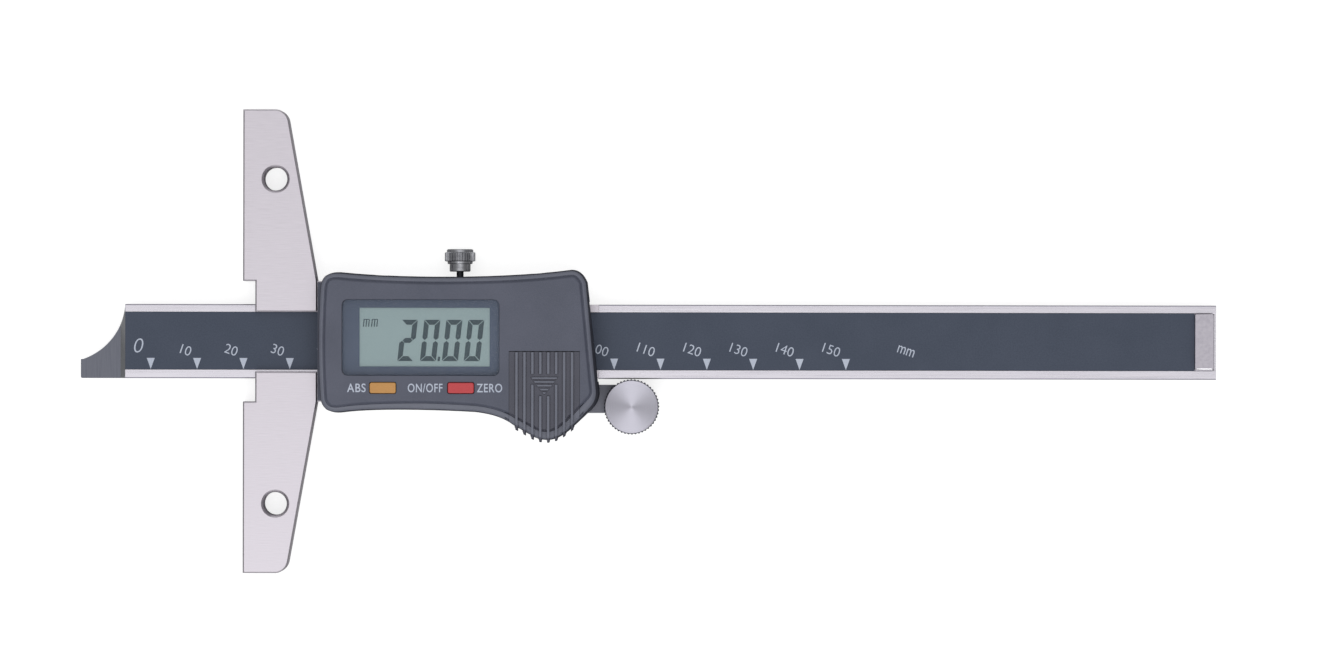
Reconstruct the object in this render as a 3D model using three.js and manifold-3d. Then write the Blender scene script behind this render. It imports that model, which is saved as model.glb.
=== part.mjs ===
// Digital depth gauge with a 150 mm scale, lying on its back with the display up
// X runs along the beam away from its tip, Y across the beam, Z out of the display
// X is measured from the measuring face, Y from the middle of the beam, Z from the back

import * as THREE from "three";
import { mergeVertices } from "three/addons/utils/BufferGeometryUtils.js";
import Module from "manifold-3d";

const wasm = await Module();
wasm.setup();

// Clearances and the overrun of every cut
const seatGap = 0.15;
const runningGap = 0.15;
const looseGap = 0.3;
const beamWayGap = 0.6;
const contactPocketGap = 0.45;
const overrun = 2;

// Beam
const beamWidth = 16;
const beamThickness = 3.6;
const beamLength = 245.1;
const beamEdge = 0.2;
const tipReach = 35.2;
const tipLength = 9.7;
const tipThickness = 1.8;
const tipEndHeight = 4.1;
const tipCurveRadius = 13.7;
const tipCurveRise = 1.05;
const tipRampLength = 1.1;
const tipRampHeight = 0.9;

// Scale strip and its board between the rails
const railUpper = 1.64;
const railLower = 1.86;
const scaleBoardThickness = 0.45;
const scaleStripThickness = 0.2;
const scaleBelowRails = 0.1;
const scaleSideGap = 0.05;

// End stop
const endStopLength = 3.9;
const endStopSetback = 0.6;
const endStopHeight = 2.2;
const endStopCorner = 0.4;
const endStopScrewSpacing = 6.4;

// Base and slider frame
const baseLength = 100;
const baseDepth = 16;
const baseEndDepth = 9.4;
const baseCornerRadius = 3;
const baseThickness = 7;
const baseEdge = 0.3;
const reliefDepth = 2.65;
const frameWidth = 26;
const frameSetback = 3.9;
const frameThickness = 6.5;
const webThickness = 1.5;
const slotWidth = 12.9;
const slotBevel = 0.3;
const extensionHoleRadius = 2.5;
const extensionHoleBevel = 0.55;
const extensionHoleSpacing = 70;
const extensionHoleDepth = 7;

// Gib strip and its set screws
const gibThickness = 0.9;
const gibHeight = 3.3;
const gibStart = 4;
const gibScrewRadius = 1;
const gibScrewLength = 2.8;
const gibScrewMargin = 26.8;

// Lock screw
const lockShare = 0.5033;
const lockThreadRadius = 1.1;
const lockNeckRadius = 0.78;
const lockHubRadius = 2.25;
const lockHubStart = 15.1;
const lockHubLength = 1.6;
const lockCollarRadius = 2.75;
const lockHeadRadius = 3.3;
const lockHeadStart = 17.3;
const lockHeadLength = 2;
const lockHeadEdge = 0.25;
const lockCapRadius = 2.85;
const lockCapHeight = 0.65;
const lockTeeth = 36;
const lockToothDepth = 0.18;

// Housing
const housingLeft = 16.1;
const housingLength = 60.8;
const housingHalfHeight = 15.5;
const skirtBottom = 3;
const skirtWall = 1.2;
const bayFloor = 0.9;
const ceilingThickness = 2.4;
const shoulderInset = 1.3;
const shoulderRound = 1.3;
const panelStep = 0.6;
const panelEdge = 0.2;
const panelRoot = 0.4;
const notchHalfWidth = 1.35;
const apronHalf = 12.75;
const apronTop = 8.6;

// Window and display
const windowInset = 5.6;
const windowCoverGap = 1.9;
const windowHeight = 16.3;
const windowMiddleY = 1;
const windowCorner = 0.9;
const windowThickness = 1.2;
const windowRecess = 0.3;
const windowEdge = 0.12;
const lcdSideMargin = 1.85;
const lcdHeight = 14.7;
const lcdThickness = 1.8;
const lcdGap = 0.2;
const contactStripMargin = 1.15;
const contactStripWidth = 1.2;
const contactStripInset = 0.3;

// Circuit board
const boardInset = 1.8;
const boardOverhang = 0.3;
const boardTop = 10.6;
const boardBottom = -11.6;
const boardThickness = 1;
const boardScrewInset = 1.95;
const boardScrewY = -9.9;

// Buttons
const buttonWidth = 5.6;
const buttonHeight = 2.27;
const buttonCorner = 0.4;
const buttonY = -9.95;
const absShare = 0.2588;
const zeroShare = 0.7544;
const buttonProud = 0.3;
const buttonTravel = 0.4;
const buttonEdge = 0.12;
const stemGap = 0.8;
const flangeMargin = 0.6;
const flangeThickness = 0.8;
const flangeGap = 0.3;
const stemRadius = 0.9;
const matMargin = 0.95;
const matHeight = 2.6;
const matThickness = 0.5;
const domeRadius = 1.2;
const domeTopRadius = 0.9;
const domeHeight = 1.6;

// Battery, its contacts and its cover
const cellRadius = 5.8;
const cellHeight = 5.4;
const cellCapRadius = 4.9;
const cellCapHeight = 0.7;
const cellY = -9.8;
const contactThickness = 0.3;
const contactWidth = 3;
const plusContactHeight = 4.4;
const coverWidth = 15.4;
const coverInset = 4.1;
const coverTop = -2;
const coverThickness = 1.6;
const coverLipTop = -17.9;
const coverReach = 24;
const tongueWidth = 0.7;
const tongueThickness = 0.6;
const tongueTop = -3.2;
const tongueLength = 10;
const ridgeCount = 8;
const ridgePitch = 1.702;
const ridgeWidth = 0.55;
const ridgeProud = 0.35;
const ridgeReach = 0.5;
const ridgeRoot = 1.2;
const ridgeTop = -2.2;
const arrowTop = -6.9;
const arrowSide = -9.2;
const arrowPoint = -11.65;

// Thumb roller, its bracket and its pin
const rollerStandOff = 6.9;
const rollerRadius = 5.86;
const rollerBeamGap = 0.19;
const rollerThickness = 4.2;
const rollerBottom = 2.75;
const rollerEdge = 0.23;
const rollerTeeth = 48;
const rollerToothDepth = 0.22;
const pinRadius = 1.2;
const pinHeadRadius = 2.2;
const pinHeadHeight = 0.8;
const pinReach = 3.2;
const bracketLap = 13.6;
const bracketTop = -9.3;
const bracketBottom = -15.4;
const bracketStep = -12.9;
const bracketThickness = 2;
const bracketBack = 0.4;
const bracketEndRadius = 4;
const bracketCorner = 1;
const bracketScrewInset = 3.5;
const bracketScrewSpacing = 7.2;
const bracketScrewY = -11.1;

// Small screws
const screwShankRadius = 0.8;
const screwHeadRadius = 1.5;
const screwHeadHeight = 0.9;
const screwDepth = 4.4;
const housingScrewInset = 3.5;
const housingScrewUpperY = 11.1;
const housingScrewLowerY = -10.8;
const coverScrewY = -11.2;
const smallShankRadius = 0.6;
const smallHeadRadius = 1.1;
const smallHeadHeight = 0.5;

// Values worked out from those above
const housingRight = housingLeft + housingLength;
const frameHalf = frameWidth / 2;
const frameEnd = housingRight - frameSetback;
const beamHalf = beamWidth / 2;
const beamBottom = webThickness + runningGap;
const beamTop = beamBottom + beamThickness;
const slideCeiling = beamTop + runningGap;
const beamMiddle = beamBottom + beamThickness / 2;
const beamEnd = beamLength - tipReach;
const bodyStart = tipLength - tipReach;
const stripTop = beamHalf - railUpper;
const stripBottom = railLower - beamHalf;
const scaleTop = beamTop - scaleBelowRails;
const scaleBoardTop = scaleTop - scaleStripThickness;
const scaleFloor = scaleBoardTop - scaleBoardThickness;
const stopEnd = beamEnd - endStopSetback;
const stopStart = stopEnd - endStopLength;
const stopMiddleY = (stripTop + stripBottom) / 2;
const gibBack = beamHalf + runningGap + gibThickness;
const wallUpper = gibBack + runningGap;
const wallLower = -beamHalf - runningGap;
const slotBottom = stripTop - slotWidth;
const bayFloorZ = frameThickness + bayFloor;
const cellBottom = bayFloorZ + contactThickness + seatGap;
const coverBottom = cellBottom + cellHeight + seatGap;
const housingTop = coverBottom + coverThickness;
const shoulderTop = housingTop - panelStep;
const ceiling = housingTop - ceilingThickness;
const windowBottom = housingTop - windowRecess - windowThickness;
const lcdTop = windowBottom - lcdGap;
const lcdBottom = lcdTop - lcdThickness;
const coverRight = housingRight - coverInset;
const coverLeft = coverRight - coverWidth;
const cellX = coverRight - coverWidth / 2;
const ridgeStart = cellX - (ridgePitch * (ridgeCount - 1)) / 2;
const windowLeft = housingLeft + windowInset;
const windowRight = coverLeft - windowCoverGap;
const windowWidth = windowRight - windowLeft;
const windowMiddleX = windowLeft + windowWidth / 2;
const lcdWidth = windowWidth - lcdSideMargin * 2;
const contactStripLength = lcdWidth - contactStripMargin * 2;
const boardLeft = windowLeft + boardInset;
const boardRight = windowRight + boardOverhang;
const boardScrewX = [boardLeft + boardScrewInset, boardRight - boardScrewInset];
const absX = windowLeft + windowWidth * absShare;
const zeroX = windowLeft + windowWidth * zeroShare;
const lockX = housingLeft + housingLength * lockShare;
const gibScrewSpacing = housingLength - gibScrewMargin;
const boardBottomZ = slideCeiling;
const boardTopZ = boardBottomZ + boardThickness;
const matTop = boardTopZ + matThickness + domeHeight;
const stemBottom = matTop + stemGap;
const rollerX = housingRight + rollerStandOff;
const rollerY = -beamHalf - rollerBeamGap - rollerRadius;
const bracketTopZ = bracketBack + bracketThickness;
const bracketLeft = frameEnd - bracketLap;
const bracketScrewRight = frameEnd - bracketScrewInset;
const bracketScrewX = [bracketScrewRight - bracketScrewSpacing, bracketScrewRight];
const housingScrewPlaces = [
  [housingLeft + housingScrewInset, housingScrewUpperY],
  [housingLeft + housingScrewInset, housingScrewLowerY],
  [coverLeft, coverScrewY],
  [frameEnd - housingScrewInset, housingScrewUpperY],
];

// Materials
const brushedSteel = finish(0xd3d0d8, 0.35, 0.9);
const railSteel = finish(0xd5d2da, 0.25, 0.95);
const scaleFilm = finish(0x495060, 0.5, 0);
const boardGreen = finish(0x2f5a3c, 0.6, 0);
const darkPlastic = finish(0x5d6170, 0.6, 0);
const tintedLens = finish(0x586174, 0.12, 0);
const displayGlass = finish(0x90a3a4, 0.2, 0);
const orangePlastic = finish(0xc8965a, 0.5, 0);
const redPlastic = finish(0xbb5154, 0.5, 0);
const darkChrome = finish(0x71727a, 0.3, 0.9);
const knurledSteel = finish(0xc4c4cd, 0.3, 0.95);
const bracketPlastic = finish(0x5f606c, 0.6, 0);
const bearingBrass = finish(0xb08d4c, 0.35, 0.9);
const screwSteel = finish(0x8d8f94, 0.35, 0.9);
const greyRubber = finish(0x56585c, 0.85, 0);
const nickel = finish(0xc7c9c6, 0.25, 0.95);

function finish(color, roughness, metalness) {
  return new THREE.MeshStandardMaterial({ color, roughness, metalness });
}

// Solids: a closed geometry becomes a solid that can be joined and cut
function solid(geometry) {
  const bare = geometry.clone();
  bare.deleteAttribute("normal");
  bare.deleteAttribute("uv");
  const merged = mergeVertices(bare);
  const corners = merged.index.array;
  const kept = [];
  for (let i = 0; i < corners.length; i += 3) {
    const [a, b, c] = corners.slice(i, i + 3);
    if (a !== b && b !== c && c !== a) kept.push(a, b, c);
  }
  const mesh = new wasm.Mesh({
    numProp: 3,
    vertProperties: merged.attributes.position.array,
    triVerts: new Uint32Array(kept),
  });
  return new wasm.Manifold(mesh);
}

function surface(body) {
  const { vertProperties, triVerts } = body.getMesh();
  const geometry = new THREE.BufferGeometry();
  geometry.setAttribute("position", new THREE.BufferAttribute(vertProperties, 3));
  geometry.setIndex(new THREE.BufferAttribute(triVerts, 1));
  const flat = geometry.toNonIndexed();
  flat.computeVertexNormals();
  return flat;
}

function block(x, y, z) {
  const box = new THREE.BoxGeometry(x[1] - x[0], y[1] - y[0], z[1] - z[0]);
  box.translate((x[0] + x[1]) / 2, (y[0] + y[1]) / 2, (z[0] + z[1]) / 2);
  return solid(box);
}

function rodZ(radius, x, y, z, sides = 32) {
  const rod = new THREE.CylinderGeometry(radius, radius, z[1] - z[0], sides);
  rod.rotateX(Math.PI / 2);
  rod.translate(x, y, (z[0] + z[1]) / 2);
  return solid(rod);
}

function rodY(radius, x, z, y, sides = 24) {
  const rod = new THREE.CylinderGeometry(radius, radius, y[1] - y[0], sides);
  rod.translate(x, (y[0] + y[1]) / 2, z);
  return solid(rod);
}

// A turned piece from its profile of [radius, height] points, about Z
function turned(profile, sides = 32) {
  const points = profile.map(([radius, height]) => new THREE.Vector2(radius, height));
  const lathe = new THREE.LatheGeometry(points, sides);
  lathe.rotateX(Math.PI / 2);
  return solid(lathe);
}

// A plate between two heights whose edges are broken by a small bevel
function plate(shape, z, edge = 0, curveSegments = 8) {
  const geometry = new THREE.ExtrudeGeometry(shape, {
    depth: z[1] - z[0] - 2 * edge,
    bevelEnabled: edge > 0,
    bevelThickness: edge,
    bevelSize: edge,
    bevelOffset: -edge,
    bevelSegments: 1,
    curveSegments,
  });
  geometry.translate(0, 0, z[0] + edge);
  return solid(geometry);
}

// A block with its outline drawn in by an inset, and only its upper edge rounded
function roundTopped(shape, z, inset, round, bevelSegments) {
  const geometry = new THREE.ExtrudeGeometry(shape, {
    depth: z[1] - z[0],
    bevelThickness: round,
    bevelSize: round,
    bevelOffset: -inset - round,
    bevelSegments,
    curveSegments: 8,
  });
  geometry.translate(0, 0, z[0] - round);
  const wide = [-overrun, beamLength];
  const across = [-baseLength, baseLength];
  return solid(geometry).subtract(block(wide, across, [z[0] - 2 * round - overrun, z[0]]));
}

// A bar along X from its section of [y, z] points
function bar(section, x) {
  const shape = new THREE.Shape(section.map(([y, z]) => new THREE.Vector2(y, z)));
  const geometry = new THREE.ExtrudeGeometry(shape, { depth: x[1] - x[0], bevelEnabled: false });
  geometry.rotateX(Math.PI / 2);
  geometry.rotateZ(Math.PI / 2);
  geometry.translate(x[0], 0, 0);
  return solid(geometry);
}

// An outline of [x, y, radius] corners, each rounded by a true arc
function rounded(corners) {
  const shape = new THREE.Shape();
  corners.forEach(([x, y, radius = 0], i) => {
    const [fromX, fromY] = corners[(i + corners.length - 1) % corners.length];
    const [toX, toY] = corners[(i + 1) % corners.length];
    const here = new THREE.Vector2(x, y);
    const back = new THREE.Vector2(fromX, fromY).sub(here).normalize();
    const ahead = new THREE.Vector2(toX, toY).sub(here).normalize();
    const half = Math.acos(back.dot(ahead)) / 2;
    const start = here.clone().addScaledVector(back, radius / Math.tan(half));
    if (i === 0) shape.moveTo(start.x, start.y);
    else shape.lineTo(start.x, start.y);
    if (radius === 0) return;
    const middle = back.clone().add(ahead).normalize();
    const centre = here.clone().addScaledVector(middle, radius / Math.sin(half));
    const end = here.clone().addScaledVector(ahead, radius / Math.tan(half));
    const startAngle = start.clone().sub(centre).angle();
    const endAngle = end.clone().sub(centre).angle();
    const clockwise = back.cross(ahead) > 0;
    shape.absarc(centre.x, centre.y, radius, startAngle, endAngle, clockwise);
  });
  shape.closePath();
  return shape;
}

function rectangle(x, y, radius = 0) {
  return rounded([
    [x[0], y[0], radius],
    [x[1], y[0], radius],
    [x[1], y[1], radius],
    [x[0], y[1], radius],
  ]);
}

// A toothed circle: each tooth has one crest and one root
function knurled(radius, depth, teeth) {
  const points = [];
  for (let i = 0; i < teeth * 2; i += 1) {
    const reach = i % 2 === 0 ? radius : radius - depth;
    const angle = (i * Math.PI) / teeth;
    points.push(new THREE.Vector2(reach * Math.cos(angle), reach * Math.sin(angle)));
  }
  return new THREE.Shape(points);
}

// The gauge: its origin is under the middle of the whole, on the surface that it lies on
const gauge = new THREE.Group();
gauge.position.x = tipReach - beamLength / 2;

function add(name, body, material, place = [0, 0, 0], carrier = gauge) {
  const mesh = new THREE.Mesh(surface(body), material);
  mesh.name = name;
  mesh.position.set(...place);
  carrier.add(mesh);
  return mesh;
}

// Cross base and slider frame, cut through by the beam's channel
function baseSolid() {
  const half = baseLength / 2;
  const outline = rounded([
    [0, -half],
    [baseEndDepth, -half, baseCornerRadius],
    [baseDepth, -frameHalf],
    [baseDepth, frameHalf],
    [baseEndDepth, half, baseCornerRadius],
    [0, half],
    [0, frameHalf],
    [reliefDepth, frameHalf],
    [reliefDepth, -frameHalf],
    [0, -frameHalf],
  ]);
  const frame = rectangle([reliefDepth + baseEdge, frameEnd], [-frameHalf, frameHalf]);
  let body = plate(outline, [0, baseThickness], baseEdge);
  body = body.add(plate(frame, [0, frameThickness], baseEdge));
  body = body.subtract(channel()).subtract(boardWindow()).subtract(bracketSeat());
  for (const side of [-1, 1]) {
    const y = (side * extensionHoleSpacing) / 2;
    body = body.subtract(extensionHole().translate([extensionHoleDepth, y, 0]));
  }
  for (const [x, y] of housingScrewPlaces) {
    const shank = screwShankRadius + seatGap;
    const head = screwHeadRadius + seatGap;
    body = body.subtract(rodZ(shank, x, y, [-overrun, frameThickness + overrun], 20));
    body = body.subtract(rodZ(head, x, y, [-overrun, screwHeadHeight + looseGap], 24));
  }
  for (const x of bracketScrewX) {
    const depth = bracketTopZ + screwDepth - screwHeadHeight;
    body = body.subtract(rodZ(smallShankRadius + seatGap, x, bracketScrewY, [0, depth], 16));
  }
  for (const x of boardScrewX) {
    const top = frameThickness + overrun;
    const bottom = slideCeiling - boardScrewReach() - seatGap;
    body = body.subtract(rodZ(smallShankRadius + seatGap, x, boardScrewY, [bottom, top], 16));
  }
  for (const x of gibScrewX()) {
    const bore = [beamHalf, frameHalf + overrun];
    body = body.subtract(rodY(gibScrewRadius + seatGap, x, beamMiddle, bore, 20));
  }
  const lockBore = [beamHalf, frameHalf + overrun];
  return body.subtract(rodY(lockThreadRadius + seatGap, lockX, beamMiddle, lockBore, 24));
}

// The channel: a closed way for beam and gib, open to the front by a bevelled slot
function channel() {
  const top = baseThickness + overrun;
  const section = [
    [wallLower, webThickness],
    [wallUpper, webThickness],
    [wallUpper, slideCeiling],
    [stripTop, slideCeiling],
    [stripTop, baseThickness - slotBevel],
    [stripTop + slotBevel, baseThickness],
    [stripTop + slotBevel, top],
    [slotBottom - slotBevel, top],
    [slotBottom - slotBevel, baseThickness],
    [slotBottom, baseThickness - slotBevel],
    [slotBottom, slideCeiling],
    [wallLower, slideCeiling],
  ];
  return bar(section, [-overrun, frameEnd + overrun]);
}

function boardWindow() {
  const x = [boardLeft - seatGap, boardRight + seatGap];
  const y = [boardBottom - seatGap, boardTop + seatGap];
  return block(x, y, [slideCeiling, frameThickness + overrun]);
}

function bracketSeat() {
  const x = [bracketLeft - seatGap, frameEnd + overrun];
  const y = [-frameHalf - overrun, bracketTop + seatGap];
  return block(x, y, [-overrun, bracketTopZ]);
}

function extensionHole() {
  const wide = extensionHoleRadius + extensionHoleBevel;
  return turned([
    [0, -overrun],
    [wide, -overrun],
    [wide, 0],
    [extensionHoleRadius, extensionHoleBevel],
    [extensionHoleRadius, baseThickness - extensionHoleBevel],
    [wide, baseThickness],
    [wide, baseThickness + overrun],
    [0, baseThickness + overrun],
  ]);
}

function gibScrewX() {
  return [lockX - gibScrewSpacing / 2, lockX + gibScrewSpacing / 2];
}

function boardScrewReach() {
  return slideCeiling / 2;
}

function addBase() {
  add("base_slider", baseSolid(), brushedSteel);
  const gibZ = [webThickness + runningGap, webThickness + runningGap + gibHeight];
  const gibY = [beamHalf + runningGap, gibBack];
  add("gib_strip", block([gibStart, frameEnd], gibY, gibZ), bearingBrass);
  const names = ["gib_screw_left", "gib_screw_right"];
  gibScrewX().forEach((x, i) => {
    const y = [gibBack + seatGap, gibBack + seatGap + gibScrewLength];
    add(names[i], rodY(gibScrewRadius, x, beamMiddle, y, 20), screwSteel);
  });
}

// Beam: two rails either side of a sunk floor, and a thinned tip with a hollow curve
function beamSolid() {
  const section = [
    [-beamHalf + beamEdge, beamBottom],
    [beamHalf - beamEdge, beamBottom],
    [beamHalf, beamBottom + beamEdge],
    [beamHalf, beamTop - beamEdge],
    [beamHalf - beamEdge, beamTop],
    [stripTop, beamTop],
    [stripTop, scaleFloor],
    [stripBottom, scaleFloor],
    [stripBottom, beamTop],
    [-beamHalf + beamEdge, beamTop],
    [-beamHalf, beamTop - beamEdge],
    [-beamHalf, beamBottom + beamEdge],
  ];
  const tipTop = beamBottom + tipThickness;
  const tip = plate(tipOutline(), [beamBottom, tipTop], 0, 16);
  const rampStart = bodyStart - tipRampLength;
  const ramp = new THREE.Shape([
    new THREE.Vector2(rampStart, tipTop),
    new THREE.Vector2(bodyStart + tipRampLength, tipTop),
    new THREE.Vector2(bodyStart + tipRampLength, tipTop + tipRampHeight),
    new THREE.Vector2(bodyStart, tipTop + tipRampHeight),
  ]);
  const rampBar = new THREE.ExtrudeGeometry(ramp, { depth: beamWidth, bevelEnabled: false });
  rampBar.rotateX(Math.PI / 2);
  rampBar.translate(0, beamHalf, 0);
  const bounds = plate(tipOutline(), [beamBottom, scaleFloor], 0, 16);
  let body = bar(section, [bodyStart, beamEnd]).add(tip);
  body = body.add(solid(rampBar).intersect(bounds));
  for (const y of endStopScrewY()) {
    const head = smallHeadRadius + seatGap;
    const shank = smallShankRadius + seatGap;
    const x = (stopStart + stopEnd) / 2;
    body = body.subtract(rodZ(shank, x, y, [0, beamTop], 16));
    body = body.subtract(rodZ(head, x, y, [0, beamBottom + smallHeadHeight + seatGap], 20));
  }
  return body;
}

function tipOutline() {
  const centreX = bodyStart - tipCurveRadius;
  const centreY = beamHalf + tipCurveRise;
  const endTop = tipEndHeight - beamHalf;
  const lowAngle = Math.asin((endTop - centreY) / tipCurveRadius);
  const highAngle = Math.asin(-tipCurveRise / tipCurveRadius);
  const shape = new THREE.Shape();
  shape.moveTo(-tipReach, -beamHalf + beamEdge);
  shape.lineTo(-tipReach + beamEdge, -beamHalf);
  shape.lineTo(bodyStart + tipRampLength, -beamHalf);
  shape.lineTo(bodyStart + tipRampLength, beamHalf);
  shape.absarc(centreX, centreY, tipCurveRadius, highAngle, lowAngle, true);
  shape.lineTo(-tipReach, endTop);
  shape.closePath();
  return shape;
}

function endStopScrewY() {
  return [stopMiddleY - endStopScrewSpacing / 2, stopMiddleY + endStopScrewSpacing / 2];
}

function endStopSolid() {
  const y = [stripBottom + seatGap, stripTop - seatGap];
  const outline = rectangle([stopStart, stopEnd], y, endStopCorner);
  let body = plate(outline, [scaleFloor, scaleFloor + endStopHeight], panelEdge, 3);
  for (const place of endStopScrewY()) {
    const x = (stopStart + stopEnd) / 2;
    const depth = [0, scaleFloor + endStopHeight / 2];
    body = body.subtract(rodZ(smallShankRadius + seatGap, x, place, depth, 16));
  }
  return body;
}

function addBeam() {
  add("beam", beamSolid(), railSteel);
  const x = [bodyStart, stopStart - seatGap];
  const y = [stripBottom + scaleSideGap, stripTop - scaleSideGap];
  add("scale_board", block(x, y, [scaleFloor, scaleBoardTop]), boardGreen);
  add("scale_strip", block(x, y, [scaleBoardTop, scaleTop]), scaleFilm);
  add("end_stop", endStopSolid(), railSteel);
  endStopScrewY().forEach((place, i) => {
    const length = scaleFloor + endStopHeight / 2 - beamBottom - seatGap;
    const body = screw(smallHeadRadius, smallHeadHeight, smallShankRadius, length);
    add(`end_stop_screw_${i + 1}`, body, screwSteel, [(stopStart + stopEnd) / 2, place, beamBottom]);
  });
}

// A screw that stands on its head, from its back face up
function screw(headRadius, headHeight, shankRadius, length) {
  return turned(
    [
      [0, 0],
      [headRadius, 0],
      [headRadius, headHeight],
      [shankRadius, headHeight],
      [shankRadius, length - shankRadius / 2],
      [shankRadius / 2, length],
      [0, length],
    ],
    20,
  );
}

// Housing outline, drawn clockwise from the lower left in shares of its length and half height
function housingOutline() {
  const startShare = [0.008, -0.813];
  const curveShares = [
    [-0.0066, -0.03, 0.0073, 0.743],
    [0.0117, 0.993, 0.09, 0.961],
    [0.278, 0.884, 0.656, 0.871, 0.9, 1.0035],
    [0.9385, 1.004, 0.957, 0.822],
    [0.9995, -0.671],
    [1.0033, -0.845, 0.9638, -0.974],
    [0.9046, -1.194],
    [0.855, -1.375, 0.814, -1.37],
    [0.782, -1.37, 0.757, -1.307],
    [0.694, -1.166],
    [0.648, -1.021, 0.5576, -0.983],
    [0.42, -0.952, 0.2, -0.93, 0.0888, -0.99],
    [0.0245, -1.022, 0.008, -0.813],
  ];
  const place = (x, y) => [housingLeft + x * housingLength, y * housingHalfHeight];
  const shape = new THREE.Shape();
  shape.moveTo(...place(...startShare));
  for (const shares of curveShares) {
    const points = [];
    for (let i = 0; i < shares.length; i += 2) points.push(...place(shares[i], shares[i + 1]));
    if (points.length === 2) shape.lineTo(...points);
    else if (points.length === 4) shape.quadraticCurveTo(...points);
    else shape.bezierCurveTo(...points);
  }
  return shape;
}

// The whole moulded form before the openings: a rounded shoulder with a raised panel
function housingBlank() {
  const outline = housingOutline();
  const shoulder = roundTopped(outline, [skirtBottom, shoulderTop], 0, shoulderRound, 4);
  const panelFoot = shoulderTop - panelRoot;
  return shoulder.add(roundTopped(outline, [panelFoot, housingTop], shoulderInset, panelEdge, 1));
}

function coverOpening(gap) {
  const x = [coverLeft + gap, coverRight - gap];
  const y = [coverTop - gap, -housingHalfHeight - coverReach];
  const top = [coverBottom + gap, housingTop + overrun];
  const lip = [bayFloorZ + gap, housingTop + overrun];
  const front = block(x, [y[1], y[0]], top);
  return front.add(block(x, [y[1], coverLipTop - gap], lip));
}

function tongues(gap, y) {
  const x = [coverLeft - tongueWidth + gap, coverRight + tongueWidth - gap];
  return block(x, y, [coverBottom + gap, coverBottom + tongueThickness + looseGap - gap]);
}

function housingSolid() {
  const outline = housingOutline();
  const below = skirtBottom - overrun;
  const frameX = [housingLeft - overrun, frameEnd + seatGap];
  const frameY = [-frameHalf - seatGap, frameHalf + seatGap];
  const inside = roundTopped(outline, [below, frameThickness], skirtWall, panelEdge, 1);
  const beamY = [-beamHalf - beamWayGap, beamHalf + beamWayGap];
  const beamWay = block([frameEnd, housingRight + overrun], beamY, [below, beamTop + beamWayGap]);
  const apronX = [baseDepth + seatGap, housingLeft + shoulderInset];
  const apron = block(apronX, [-apronHalf, apronHalf], [frameThickness, apronTop]);
  let body = housingBlank().add(apron);
  body = body.subtract(block(frameX, frameY, [below, frameThickness])).subtract(inside);
  body = body.subtract(beamWay).subtract(electronicsCavity()).subtract(windowCut());
  for (const x of [absX, zeroX]) body = body.subtract(buttonHole(x));
  body = body.subtract(coverOpening(0)).subtract(batteryBay());
  body = body.subtract(tongues(0, [-housingHalfHeight - coverReach, tongueTop + seatGap]));
  for (const [x, y] of housingScrewPlaces) {
    const pilot = [below, frameThickness + screwDepth + seatGap];
    body = body.subtract(rodZ(screwShankRadius + seatGap, x, y, pilot, 20));
  }
  for (const x of [...gibScrewX(), lockX]) {
    const y = [frameHalf, housingHalfHeight + overrun];
    const slot = [x - notchHalfWidth, x + notchHalfWidth];
    body = body.subtract(block(slot, y, [below, beamMiddle]));
    body = body.subtract(rodY(notchHalfWidth, x, beamMiddle, y, 20));
  }
  return body;
}

function electronicsCavity() {
  const x = [boardLeft - seatGap, boardRight + seatGap];
  const y = [boardBottom - seatGap, boardTop + seatGap];
  return block(x, y, [slideCeiling, ceiling]);
}

function windowCut() {
  const x = [windowLeft - seatGap, windowLeft + windowWidth + seatGap];
  const reach = windowHeight / 2 + seatGap;
  const y = [windowMiddleY - reach, windowMiddleY + reach];
  const seat = plate(rectangle(x, y, windowCorner + seatGap), [windowBottom, housingTop + overrun]);
  const lcdX = lcdWidth / 2 + seatGap;
  const lcdY = lcdHeight / 2 + seatGap;
  const opening = block(
    [windowMiddleX - lcdX, windowMiddleX + lcdX],
    [windowMiddleY - lcdY, windowMiddleY + lcdY],
    [lcdBottom, windowBottom + overrun],
  );
  return seat.add(opening);
}

function buttonOutline(x, margin) {
  const halfWidth = buttonWidth / 2 + margin;
  const halfHeight = buttonHeight / 2 + margin;
  return rectangle(
    [x - halfWidth, x + halfWidth],
    [buttonY - halfHeight, buttonY + halfHeight],
    buttonCorner + margin,
  );
}

function buttonHole(x) {
  return plate(buttonOutline(x, seatGap), [ceiling - overrun, housingTop + overrun], 0, 3);
}

function batteryBay() {
  const top = coverBottom + overrun;
  const bay = rodZ(cellRadius + looseGap, cellX, cellY, [bayFloorZ, top], 40);
  const pocketX = [cellX - cellRadius - contactThickness - contactPocketGap, cellX];
  const halfWidth = contactWidth / 2 + seatGap;
  return bay.add(block(pocketX, [cellY - halfWidth, cellY + halfWidth], [bayFloorZ, top]));
}

function addHousing() {
  add("housing", housingSolid(), darkPlastic);
  housingScrewPlaces.forEach(([x, y], i) => {
    const length = frameThickness + screwDepth - seatGap;
    const body = screw(screwHeadRadius, screwHeadHeight, screwShankRadius, length);
    add(`housing_screw_${i + 1}`, body, screwSteel, [x, y, seatGap]);
  });
}

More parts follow.
